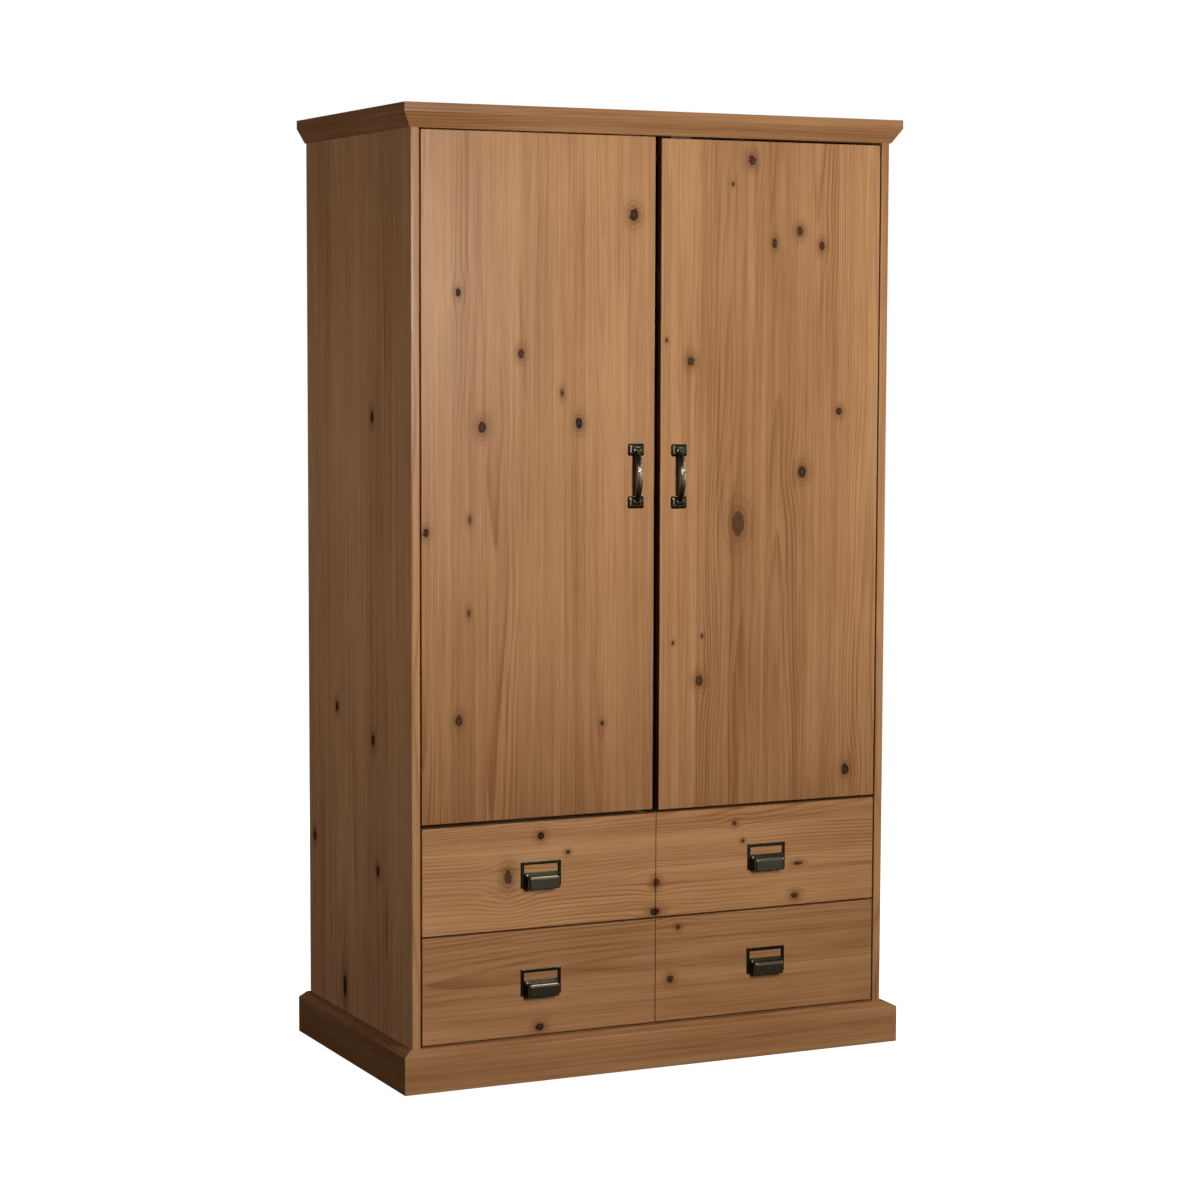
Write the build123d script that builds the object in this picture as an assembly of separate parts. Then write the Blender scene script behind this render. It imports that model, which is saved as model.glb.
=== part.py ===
"""Two-door pine armoire with two full-width drawers, as separate solid pieces.

Frame: origin at the centre of the footprint on the floor, +Z up, the front faces -Y, and +X is on
the right of someone who faces it. All sizes are in millimetres.
"""
import os

from build123d import *

# ---- overall sizes ----
overall_height = 1980.0
body_width = 1090.0  # over the two side panels
body_depth = 600.0  # front edges to back edges of the side panels

# ---- boards ----
board = 18.0  # panels, shelves and rails
door_thickness = 18.0
drawer_side_thickness = 12.0
thin_panel = 5.0  # back panels and drawer bottoms

# ---- plinth and cornice ----
glide_height = 3.0
glide_radius = 8.0
plinth_top = 90.0
plinth_overhang = 27.0
plinth_ledge = 8.0  # flat strip on top, next to the body
plinth_chamfer_drop = 10.0
cornice_overhang = 21.0
cornice_foot = 3.0  # overhang at the cornice's lower edge
cornice_bevel = 30.0
cornice_fascia = 18.0

# ---- gaps round the doors and drawer fronts ----
side_gap = 3.5
drawer_gap = 4.0
door_bottom_gap = 7.0
door_top_gap = 4.0
door_middle_gap = 14.0
left_door_lift = 1.5  # each door as its hinges hold it, above its nominal place
right_door_lift = -1.0

# ---- inside the carcass ----
rail_behind_fronts = 2.0
rail_depth = 60.0
drawer_front_height = 219.0
floor_below_front_top = 6.0
shelf_below_top = 304.0
shelf_behind_battens = 24.0
hanging_rail_below_shelf = 70.0
hanging_rail_radius = 12.5
hanging_rail_wall = 1.5
socket_flange_radius = 25.0
socket_flange = 3.0
socket_sleeve = 12.0
socket_wall = 3.0
back_panel_recess = 2.0  # back panels lie this far in from the back edges
back_rebate_width = 9.0
back_fit = 0.5
back_rail_height = 60.0
strip_web = 2.0
strip_flange = 1.2
strip_half_width = 12.0
wall_hole_spacing = 700.0
wall_hole_radius = 3.0

# ---- dowels and screws ----
dowel_radius = 4.0
dowel_length = 30.0
dowel_in_side = 12.0
dowel_from_edge = 60.0
shank_radius = 1.75
head_radius = 3.5
pan_head = 1.8
countersink = 2.2
bolt_radius = 2.0
bolt_head_radius = 4.0
bolt_head = 2.5

# ---- doors: battens, handles, catches ----
batten_width = 60.0
batten_thickness = 18.0
batten_end_inset = 50.0
batten_from_edge = 80.0
handle_below_middle = 1.5
handle_from_edge = 42.5
handle_spacing = 108.0
handle_pad_width = 36.0
handle_pad_height = 26.0
handle_pad = 4.5
handle_projection = 25.0
handle_bar_width = 17.0
handle_bar_thickness = 7.0
strike = 1.0
strike_width = 40.0
strike_height = 14.0
strike_from_top = 3.0
catch_width = 46.0
catch_depth = 15.0
catch_height = 13.0
catch_clearance = 0.5
catch_from_edge = 30.0

# ---- concealed hinges ----
hinge_from_end = 120.0
cup_radius = 17.5
cup_wall = 1.0
cup_depth = 11.5
cup_floor = 0.8
cup_from_edge = 7.0
cup_flange = 1.2
cup_ear_width = 18.0
cup_ear_half_height = 29.0
cup_screw_half_spacing = 24.0
pivot_from_edge = 17.0
pivot_above_bore_floor = 3.6
pin_radius = 1.25
pin_running_fit = 0.05
knuckle_radius = 2.4
lug_half_width = 2.6
lug_thickness = 3.6
arm_half_height = 6.0
arm_side_clearance = 0.4
arm_strip = 2.0
arm_clearance = 0.75  # between the turning door and the strip that leads back
arm_return_clearance = 2.25  # between the turning door and the strip that returns behind it
arm_tail = 44.0
hinge_plate = 2.5
hinge_plate_half_height = 25.0
hinge_plate_screw_half_spacing = 18.0

# ---- drawers ----
drawer_groove_width = 4.0
drawer_groove_depth = 3.0
box_below_front_top = 57.0
box_above_front_bottom = 22.0
box_behind_clearance = 88.0
box_bottom_up = 8.0
box_groove = 6.0
runner_space = 13.0
pull_width = 90.0
pull_height = 55.0
pull_bar = 7.0
pull_plate = 3.0
pull_window_height = 16.0
pull_cup_projection = 21.0
pull_cup_wall = 2.0
pull_cup_corner = 8.0
pull_screw_half_spacing = 32.0

# ---- roller runners ----
runner_sheet = 1.2
runner_up = 20.0  # roller centre above the lower edge of the drawer's side
roller_radius = 8.0
roller_track_clearance = 0.35
roller_bore_fit = 0.05
axle_radius = 2.0
axle_head_radius = 3.5
axle_head = 0.9
axle_to_sheet = 1.6  # between an axle's head and the sheet of the other half
flange_to_sheet = 1.3
runner_web_up = 22.0
front_roller_from_front = 30.0
rear_roller_from_back = 12.0
track_end = 6.0
runner_screw_up = 16.0

# ---- places worked out from the sizes above ----
front_y = (plinth_overhang - body_depth) / 2
back_y = front_y + body_depth
outer_x = body_width / 2
inner_x = outer_x - board
panel_back_y = back_y - back_panel_recess
panel_front_y = panel_back_y - thin_panel
side_top = overall_height - board
cornice_bottom = overall_height - cornice_fascia - cornice_bevel
base_bottom = plinth_top - board
lower_front_bottom = plinth_top + drawer_gap
upper_front_bottom = lower_front_bottom + drawer_front_height + drawer_gap
fronts_top = upper_front_bottom + drawer_front_height
floor_top = fronts_top - floor_below_front_top
door_bottom = fronts_top + door_bottom_gap
door_top = cornice_bottom - door_top_gap
shelf_bottom = side_top - shelf_below_top - board
hanging_rail_z = shelf_bottom - hanging_rail_below_shelf
hanging_rail_y = (front_y + panel_front_y) / 2
drawer_rail_z = upper_front_bottom - drawer_gap / 2
rail_front_y = front_y + max(board, door_thickness) + rail_behind_fronts
door_edge_x = -inner_x + side_gap
door_free_x = -door_middle_gap / 2
door_back_y = front_y + door_thickness
pivot_x = door_edge_x + pivot_from_edge
pivot_y = door_back_y - cup_depth + pivot_above_bore_floor
corner_sweep = ((door_back_y - pivot_y) ** 2 + pivot_from_edge**2) ** 0.5
arm_reach = corner_sweep + arm_clearance + arm_strip / 2
arm_return = corner_sweep + arm_return_clearance + arm_strip / 2
shelf_front_y = door_back_y + batten_thickness + shelf_behind_battens
cup_x = door_edge_x + cup_from_edge + cup_radius
box_x = inner_x - runner_space
box_front_y = front_y + board
box_back_y = panel_front_y - box_behind_clearance
base_rail_back_y = panel_front_y - board
box_side_height = drawer_front_height - box_above_front_bottom - box_below_front_top
roller_width = runner_space - 2 * (runner_sheet + roller_track_clearance) - axle_head - axle_to_sheet
runner_flange = runner_space - runner_sheet - flange_to_sheet

LEFT, RIGHT = -1, 1
X, Y, Z = (1, 0, 0), (0, 1, 0), (0, 0, 1)
pieces = {}


def block(low, high):
    """A box between two opposite corners."""
    size = [b - a for a, b in zip(low, high)]
    return Pos(*[(a + b) / 2 for a, b in zip(low, high)]) * Box(*size)


def rod(start, direction, length, radius):
    """A cylinder that runs from start along direction."""
    align = (Align.CENTER, Align.CENTER, Align.MIN)
    return Plane(origin=start, z_dir=direction) * Cylinder(radius, length, align=align)


def opposite(direction):
    return tuple(-value for value in direction)


def pan_screw(point, direction, length):
    """A screw whose head stands on the surface at point and whose shank goes along direction."""
    head = rod(point, opposite(direction), pan_head, head_radius)
    return head + rod(point, direction, length, shank_radius)


def flush_screw(point, direction, length):
    """A countersunk screw, its head level with the surface at point."""
    align = (Align.CENTER, Align.CENTER, Align.MIN)
    cone = Cone(head_radius, shank_radius, countersink, align=align)
    return Plane(origin=point, z_dir=direction) * cone + rod(point, direction, length, shank_radius)


def bolt(point, direction, length):
    """A round-headed machine screw for a handle or pull."""
    head = rod(point, opposite(direction), bolt_head, bolt_head_radius)
    return head + rod(point, direction, length, bolt_radius)


def mirrored(solids):
    return [mirror(solid, about=Plane.YZ) for solid in solids]


def both_sides(solids):
    return solids + mirrored(solids)


def raised(solids, lift):
    return [Pos(0, 0, lift) * solid for solid in solids]


def keep(node, *solids):
    pieces[node] = list(solids)


def spread(low, high, count):
    """count places evenly spaced from low to high."""
    return [low + (high - low) * i / (count - 1) for i in range(count)]


# ---------------------------------------------------------------- joinery
def dowels():
    """Dowels between the cross boards and the side panels, and up into the top board."""
    depth_places = spread(front_y + dowel_from_edge, panel_front_y - dowel_from_edge, 3)
    shelf_places = spread(shelf_front_y + board, panel_front_y - dowel_from_edge, 3)
    ends = [(y, base_bottom + board / 2) for y in depth_places]
    ends += [(y, floor_top - board / 2) for y in depth_places]
    ends += [(y, shelf_bottom + board / 2) for y in shelf_places]
    ends += [(rail_front_y + share * rail_depth, drawer_rail_z) for share in (0.25, 0.75)]
    ends += [(front_y + share * rail_depth, cornice_bottom + board / 2) for share in (0.25, 0.75)]
    back_rail_middle = panel_front_y - board / 2
    ends += [(back_rail_middle, side_top - share * back_rail_height) for share in (0.25, 0.75)]
    for y in (front_y + board / 2, base_rail_back_y + board / 2):
        ends += [(y, share * base_bottom) for share in (0.3, 0.75)]
    start = inner_x + dowel_in_side
    across = [rod((start, y, z), (-1, 0, 0), dowel_length, dowel_radius) for y, z in ends]
    top_start = side_top + dowel_in_side
    middle = outer_x - board / 2
    upright = [rod((middle, y, top_start), (0, 0, -1), dowel_length, dowel_radius) for y in depth_places]
    return both_sides(across + upright)


def hinge_heights():
    low, high = door_bottom + hinge_from_end, door_top - hinge_from_end
    return spread(low, high, 3)


def runner_levels():
    """Height of the roller centres of the lower and the upper drawer."""
    return [bottom + box_above_front_bottom + runner_up for bottom in (lower_front_bottom, upper_front_bottom)]


def runner_screw_places():
    return spread(box_front_y + 60, box_back_y - 40, 3)


def carcass_screws():
    """Screws of the back panels, plinth, hinge plates, catches and runner tracks."""
    screws = []
    edge_x = inner_x + back_rebate_width / 2
    for z in spread(plinth_top, side_top - back_rail_height / 2, 7):
        screws += both_sides([pan_screw((edge_x, panel_back_y, z), (0, -1, 0), 15)])
    for x in spread(40, inner_x - 60, 3):
        for z in (base_bottom / 2, floor_top - board / 2, side_top - back_rail_height * 0.8):
            screws += both_sides([pan_screw((x, panel_back_y, z), (0, -1, 0), 15)])
    for y in spread(front_y + 90, back_y - 90, 3):
        screws += both_sides([flush_screw((inner_x, y, base_bottom / 2), X, board + 15)])
    for x in spread(80, inner_x - 80, 3):
        screws += both_sides([flush_screw((x, front_y + board, base_bottom / 2), (0, -1, 0), board + 15)])
    screws += raised(hinge_plate_screws(), left_door_lift)
    screws += mirrored(raised(hinge_plate_screws(), right_door_lift))
    for share in (0.25, 0.75):
        x = catch_x()[0] + share * catch_width
        under = (x, catch_y()[0] + catch_depth / 2, cornice_bottom - catch_height)
        screws += both_sides([pan_screw(under, Z, catch_height + 10)])
    for level in runner_levels():
        for y in runner_screw_places():
            face = (inner_x - runner_sheet, y, level + runner_screw_up)
            screws += both_sides([pan_screw(face, X, runner_sheet + 11)])
    return screws


# ---------------------------------------------------------------- carcass
def side_panel():
    """The right-hand side panel, with the rebate for the back panel."""
    panel = block((inner_x, front_y, glide_height), (outer_x, back_y, side_top))
    rebate = block((inner_x, panel_front_y, 0), (inner_x + back_rebate_width, back_y, side_top))
    return panel - rebate


def moulding(points, overhang, low, high):
    """Front, left and right lengths of a section carried round the body, mitred at the corners.

    points are (outwards from the body, height).
    """
    def run(plane, length):
        return extrude(plane * make_face(Polyline(*points, close=True)), length)

    def mitre(corners):
        return extrude(Pos(0, 0, low) * make_face(Polyline(*corners, close=True)), high - low)

    across = outer_x + overhang
    front_plane = Plane(origin=(across, front_y, 0), x_dir=(0, -1, 0), z_dir=(-1, 0, 0))
    left_plane = Plane(origin=(-outer_x, front_y - overhang, 0), x_dir=(-1, 0, 0), z_dir=Y)
    corner = (-across, front_y - overhang)
    front = run(front_plane, 2 * across)
    front &= mitre([(-outer_x, front_y), (outer_x, front_y), (across, corner[1]), corner])
    left = run(left_plane, body_depth + overhang)
    left &= mitre([(-outer_x, front_y), (-outer_x, back_y), (-across, back_y), corner])
    return front, left, mirror(left, about=Plane.YZ)


def plinth():
    points = [(0, glide_height), (plinth_overhang, glide_height)]
    points += [(plinth_overhang, plinth_top - plinth_chamfer_drop), (plinth_ledge, plinth_top)]
    points += [(0, plinth_top)]
    return moulding(points, plinth_overhang, glide_height, plinth_top)


def cornice():
    fascia_bottom = overall_height - cornice_fascia
    points = [(0, cornice_bottom), (cornice_foot, cornice_bottom), (cornice_overhang, fascia_bottom)]
    points += [(cornice_overhang, overall_height), (0, overall_height)]
    return moulding(points, cornice_overhang, cornice_bottom, overall_height)


def cross_board(front, back, low, high):
    """A board between the side panels."""
    return block((-inner_x, front, low), (inner_x, back, high))


def base_rails():
    """Rails under the base panel at the front and back, and the spine between them."""
    front = cross_board(front_y, front_y + board, glide_height, base_bottom)
    back = cross_board(base_rail_back_y, panel_front_y, glide_height, base_bottom)
    low, high = (-board / 2, front_y + board, glide_height), (board / 2, base_rail_back_y, base_bottom)
    return [front, back, block(low, high)]


def floor_glides():
    """Round glides under the side panels, the base rails and the plinth's front corners."""
    middle_x = outer_x - board / 2
    places = [(x, y) for x in (-middle_x, middle_x) for y in (front_y + 40, back_y - 40)]
    places += [(0, front_y + board / 2), (0, base_rail_back_y + board / 2)]
    return [rod((x, y, 0), Z, glide_height, glide_radius) for x, y in places]


def back_panel():
    """The right-hand back panel."""
    high_x = inner_x + back_rebate_width - back_fit
    panel = block((strip_web / 2, panel_front_y, 20), (high_x, panel_back_y, side_top - back_fit))
    return panel - wall_holes()


def back_joint_strip():
    """T-section strip between the back panels: a web in the joint and a flange behind it."""
    half = strip_web / 2
    web = block((-half, panel_front_y, 20), (half, panel_back_y, side_top - back_fit))
    flange_back = panel_back_y + strip_flange
    low = (-strip_half_width, panel_back_y, 20)
    return web + block(low, (strip_half_width, flange_back, side_top - back_fit))


def wall_holes():
    """Holes for the two wall fixings, through the top back rail and the back panels."""
    z = side_top - back_rail_height / 2
    start_y = panel_front_y - board
    length = panel_back_y - start_y
    return [rod((x, start_y, z), Y, length, wall_hole_radius) for x in (-wall_hole_spacing / 2, wall_hole_spacing / 2)]


def hanging_rail():
    start = (-inner_x + socket_flange, hanging_rail_y, hanging_rail_z)
    length = 2 * (inner_x - socket_flange)
    return rod(start, X, length, hanging_rail_radius) - rod(start, X, length, hanging_rail_radius - hanging_rail_wall)


def rail_socket():
    """The right-hand socket: a flange on the side panel and a sleeve round the rail."""
    start = (inner_x, hanging_rail_y, hanging_rail_z)
    inward = (-1, 0, 0)
    socket = rod(start, inward, socket_flange, socket_flange_radius)
    socket += rod(start, inward, socket_flange + socket_sleeve, hanging_rail_radius + socket_wall)
    mouth = (inner_x - socket_flange, hanging_rail_y, hanging_rail_z)
    return socket - rod(mouth, inward, socket_sleeve, hanging_rail_radius)


# ---------------------------------------------------------------- hinges and catches
def hinge_plates():
    """Mounting plates of the left door's hinges, on the side panel."""
    wall_x = -inner_x
    near_y = pivot_y + arm_return + arm_strip / 2
    far_y = near_y + arm_tail
    plates = []
    for z in hinge_heights():
        low = (wall_x, near_y + 6, z - hinge_plate_half_height)
        plates.append(block(low, (wall_x + hinge_plate, far_y + 4, z + hinge_plate_half_height)))
    return plates


def hinge_plate_screws():
    """Two screws in each plate of the left door's hinges, above and below the arm."""
    y = pivot_y + arm_return + arm_tail / 2
    face_x = -inner_x + hinge_plate
    heights = [z + side * hinge_plate_screw_half_spacing for z in hinge_heights() for side in (-1, 1)]
    return [pan_screw((face_x, y, z), (-1, 0, 0), hinge_plate + 12) for z in heights]


def hinge_arms():
    """Goose-neck arms of the left door's hinges, from the plate round the door's edge to the pin."""
    tail_x = -inner_x + hinge_plate
    half = arm_strip / 2
    reach_x, return_y = pivot_x + arm_reach, pivot_y + arm_return
    outline = [(pivot_x, pivot_y - half), (reach_x + half, pivot_y - half)]
    outline += [(reach_x + half, return_y + half), (tail_x + arm_strip, return_y + half)]
    outline += [(tail_x + arm_strip, return_y + half + arm_tail), (tail_x, return_y + half + arm_tail)]
    outline += [(tail_x, return_y - half), (reach_x - half, return_y - half)]
    outline += [(reach_x - half, pivot_y + half), (pivot_x, pivot_y + half)]
    height = 2 * arm_half_height
    arms = []
    for z in hinge_heights():
        base = z - arm_half_height
        arm = extrude(Pos(0, 0, base) * make_face(Polyline(*outline, close=True)), height)
        arm += rod((pivot_x, pivot_y, base), Z, height, knuckle_radius)
        arms.append(arm - rod((pivot_x, pivot_y, base), Z, height, pin_radius + pin_running_fit))
    return arms


def cup_bores():
    return [rod((cup_x, door_back_y, z), (0, -1, 0), cup_depth, cup_radius) for z in hinge_heights()]


def pin_half_length():
    return arm_half_height + arm_side_clearance + lug_thickness


def hinge_pins():
    half = pin_half_length()
    return [rod((pivot_x, pivot_y, z - half), Z, 2 * half, pin_radius) for z in hinge_heights()]


def hinge_cups():
    """Cups in the left door: a thin pot with two lugs for the pin and a flange with two ears."""
    bore_floor_y = door_back_y - cup_depth
    cups = []
    for z in hinge_heights():
        mouth = (cup_x, door_back_y + cup_flange, z)
        pot = rod((cup_x, door_back_y, z), (0, -1, 0), cup_depth, cup_radius)
        ears_low = (cup_x - cup_ear_width / 2, door_back_y, z - cup_ear_half_height)
        ears_high = (cup_x + cup_ear_width / 2, door_back_y + cup_flange, z + cup_ear_half_height)
        pot += block(ears_low, ears_high)
        pot -= rod(mouth, (0, -1, 0), cup_flange + cup_depth - cup_floor, cup_radius - cup_wall)
        for side in (-1, 1):
            near = z + side * (arm_half_height + arm_side_clearance)
            far = z + side * pin_half_length()
            low = (pivot_x - lug_half_width, bore_floor_y + cup_floor / 2, min(near, far))
            pot += block(low, (pivot_x + lug_half_width, pivot_y + lug_half_width, max(near, far)))
        half = pin_half_length()
        cups.append(pot - rod((pivot_x, pivot_y, z - half), Z, 2 * half, pin_radius))
    return cups


def cup_screws():
    heights = [z + side * cup_screw_half_spacing for z in hinge_heights() for side in (-1, 1)]
    face_y = door_back_y + cup_flange
    return [pan_screw((cup_x, face_y, z), (0, -1, 0), cup_flange + 9) for z in heights]


def catch_x():
    high = door_free_x - catch_from_edge
    return high - catch_width, high


def catch_y():
    low = door_back_y + strike + catch_clearance
    return low, low + catch_depth


def door_catch():
    """Magnetic catch of the left door, under the top front rail."""
    (low_x, high_x), (low_y, high_y) = catch_x(), catch_y()
    return block((low_x, low_y, cornice_bottom - catch_height), (high_x, high_y, cornice_bottom))


# ---------------------------------------------------------------- doors
def batten_bottoms():
    low = door_bottom + batten_from_edge
    return spread(low, door_top - batten_from_edge - batten_width, 3)


def battens():
    low_x, high_x = door_edge_x + batten_end_inset, door_free_x - batten_end_inset
    back_y_of_batten = door_back_y + batten_thickness
    return [block((low_x, door_back_y, z), (high_x, back_y_of_batten, z + batten_width)) for z in batten_bottoms()]


def batten_screws():
    low_x, high_x = door_edge_x + batten_end_inset + 30, door_free_x - batten_end_inset - 30
    face_y = door_back_y + batten_thickness
    places = [(x, z + batten_width / 2) for x in spread(low_x, high_x, 3) for z in batten_bottoms()]
    return [flush_screw((x, face_y, z), (0, -1, 0), batten_thickness + 11) for x, z in places]


def strike_place():
    middle_x = sum(catch_x()) / 2
    return middle_x, door_top - strike_from_top - strike_height


def strike_plate():
    x, z = strike_place()
    low = (x - strike_width / 2, door_back_y, z)
    return block(low, (x + strike_width / 2, door_back_y + strike, z + strike_height))


def strike_screw():
    x, z = strike_place()
    thin_head = rod((x, door_back_y + strike, z + strike_height / 2), (0, -1, 0), strike, head_radius)
    return thin_head + rod((x, door_back_y, z + strike_height / 2), (0, -1, 0), 9, shank_radius)


def handle_places():
    x = door_free_x - handle_from_edge
    middle = (door_bottom + door_top) / 2 + handle_below_middle
    return x, (middle - handle_spacing / 2, middle + handle_spacing / 2)


def handle_screws():
    x, heights = handle_places()
    length = door_thickness + handle_pad - 1
    return [bolt((x, door_back_y, z), (0, -1, 0), length) for z in heights]


def door_handle():
    """A bow handle: two pads on the door and a bar that bows out between them."""
    x, (low_z, high_z) = handle_places()
    half_w, half_h = handle_pad_width / 2, handle_pad_height / 2
    handle = None
    for z in (low_z, high_z):
        pad = block((x - half_w, front_y - handle_pad, z - half_h), (x + half_w, front_y, z + half_h))
        pad = fillet(pad.edges().filter_by(Axis.Y), 5)
        pad = chamfer(pad.faces().sort_by(Axis.Y)[0].edges(), 1.5)
        handle = pad if handle is None else handle + pad
    middle = (low_z + high_z) / 2
    outer_end, inner_end = handle_spacing / 2 + 3, handle_spacing / 2 - 5
    outer_reach = handle_projection
    inner_reach = handle_projection - handle_bar_thickness
    outer = ThreePointArc((1, middle - outer_end), (outer_reach, middle), (1, middle + outer_end))
    inner = ThreePointArc((1, middle - inner_end), (inner_reach, middle), (1, middle + inner_end))
    ends = [Line(outer @ 0, inner @ 0), Line(outer @ 1, inner @ 1)]
    bow_plane = Plane(origin=(x - handle_bar_width / 2, front_y, 0), x_dir=(0, -1, 0), z_dir=(-1, 0, 0))
    bow = extrude(bow_plane * make_face([outer, inner] + ends), -handle_bar_width)
    long_edges = [edge for edge in bow.edges() if edge.geom_type == GeomType.CIRCLE]
    bow = fillet(long_edges, 2.5)
    return handle + bow


def door_panel():
    panel = block((door_edge_x, front_y, door_bottom), (door_free_x, door_back_y, door_top))
    screws = cup_screws() + batten_screws() + handle_screws() + [strike_screw()]
    return panel - cup_bores() - screws


def door(name, lift, hand):
    """All the pieces of one door. They are worked out for the left door and mirrored for the right."""
    def place(solids):
        solids = raised(solids, lift)
        return solids if hand == LEFT else mirrored(solids)

    keep(name + "_panel", *place([door_panel()]))
    keep(name + "_battens", *place([batten - batten_screws() for batten in battens()]))
    keep(name + "_handle", *place([door_handle() - handle_screws()]))
    keep(name + "_hinge_cups", *place([cup - cup_screws() for cup in hinge_cups()]))
    keep(name + "_hinge_pins", *place(hinge_pins()))
    keep(name + "_strike_plate", *place([strike_plate() - strike_screw()]))
    keep(name + "_screws", *place(cup_screws() + batten_screws() + handle_screws() + [strike_screw()]))


# ---------------------------------------------------------------- runners
def track(level):
    """Right-hand runner track on the side panel: a web, a floor for the rear roller, a front axle."""
    low_y, high_y = box_front_y + track_end, box_back_y + track_end
    floor_z = level - roller_radius - roller_track_clearance
    web_x = inner_x - runner_sheet
    web = block((web_x, low_y, floor_z - runner_sheet), (inner_x, high_y, level + runner_web_up))
    floor = block((inner_x - runner_flange, low_y, floor_z - runner_sheet), (inner_x, high_y, floor_z))
    start = (web_x, box_front_y + front_roller_from_front, level)
    return web + floor + axle(start, (-1, 0, 0))


def axle(start, direction):
    """A roller's axle, riveted to the sheet at start, with a head beyond the roller."""
    span = roller_width + 2 * roller_track_clearance
    head_start = tuple(a + span * d for a, d in zip(start, direction))
    shaft = rod(start, direction, span, axle_radius)
    return shaft + rod(head_start, direction, axle_head, axle_head_radius)


def runner_profile(level):
    """Right-hand runner profile on the drawer: a web, a flange over the front roller, a rear axle."""
    flange_z = level + roller_radius + roller_track_clearance
    low_y, high_y = box_front_y + track_end, box_back_y - 2
    outer = box_x + runner_sheet
    web = block((box_x, low_y, flange_z), (outer, high_y, level + runner_web_up))
    flange = block((box_x, low_y, flange_z), (box_x + runner_flange, high_y, flange_z + runner_sheet))
    axle_y = box_back_y - rear_roller_from_back
    tab = block((box_x, axle_y - 8, level - 5), (outer, high_y, flange_z + runner_sheet))
    return web + flange + tab + axle((outer, axle_y, level), X)


def roller(start, direction):
    """A roller on an axle that starts at start."""
    gap_start = tuple(a + roller_track_clearance * d for a, d in zip(start, direction))
    tyre = rod(gap_start, direction, roller_width, roller_radius)
    return tyre - rod(gap_start, direction, roller_width, axle_radius + roller_bore_fit)


def front_rollers(level):
    start = (inner_x - runner_sheet, box_front_y + front_roller_from_front, level)
    return both_sides([roller(start, (-1, 0, 0))])


def rear_rollers(level):
    start = (box_x + runner_sheet, box_back_y - rear_roller_from_back, level)
    return both_sides([roller(start, X)])


# ---------------------------------------------------------------- drawers
def pull_places(front_bottom):
    """Centres of the two pulls, each in the middle of its half of the front."""
    half_front = inner_x - side_gap
    return half_front / 2, front_bottom + drawer_front_height / 2 + 1


def cup_pull(x, z):
    """A frame with an open window over a hooded cup that is open underneath."""
    half_w, half_h = pull_width / 2, pull_height / 2
    plate = block((x - half_w, front_y - pull_plate, z - half_h), (x + half_w, front_y, z + half_h))
    inner_w = half_w - pull_bar
    window_top = z + half_h - pull_bar
    window_bottom = window_top - pull_window_height
    plate -= block((x - inner_w, front_y - pull_plate, window_bottom), (x + inner_w, front_y, window_top))
    cup_top = window_bottom - 1
    cup_bottom = z - half_h - 1
    hollow_top = window_bottom - pull_bar
    plate -= block((x - inner_w, front_y - pull_plate, z - half_h), (x + inner_w, front_y, hollow_top))
    wall = pull_cup_wall
    hood = block((x - inner_w - 1, front_y - pull_cup_projection, cup_bottom), (x + inner_w + 1, front_y, cup_top))
    hood = fillet(hood_edges(hood), pull_cup_corner)
    hollow_low = (x - inner_w - 1 + wall, front_y - pull_cup_projection + wall, cup_bottom)
    hollow = block(hollow_low, (x + inner_w + 1 - wall, front_y, cup_top - wall))
    hollow = fillet(hood_edges(hollow), pull_cup_corner - wall)
    screws_land = block((x - inner_w, front_y - pull_plate, hollow_top), (x + inner_w, front_y, window_bottom))
    return plate + (hood - hollow) + screws_land


def hood_edges(solid):
    """The outer edges of the front face of a hood, and its two upright front edges, without the mouth."""
    front_face = solid.faces().sort_by(Axis.Y)[0]
    edges = [edge for edge in front_face.edges() if edge.center().Z > front_face.center().Z - 0.01]
    top_face = solid.faces().sort_by(Axis.Z)[-1]
    edges += top_face.edges().filter_by(Axis.Y)
    return edges


def pull_screws(x, z):
    """Two bolts from inside the drawer into the pull's middle bar."""
    bar_z = z + pull_height / 2 - pull_bar - pull_window_height - pull_bar / 2
    start_y = front_y + board
    length = board + pull_plate - 1
    places = [x - pull_screw_half_spacing, x + pull_screw_half_spacing]
    return [bolt((place, start_y, bar_z), (0, -1, 0), length) for place in places]


def profile_screws(level):
    face_x = box_x + runner_sheet
    places = runner_screw_places()
    return both_sides([pan_screw((face_x, y, level + runner_screw_up), (-1, 0, 0), runner_sheet + 9) for y in places])


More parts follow.
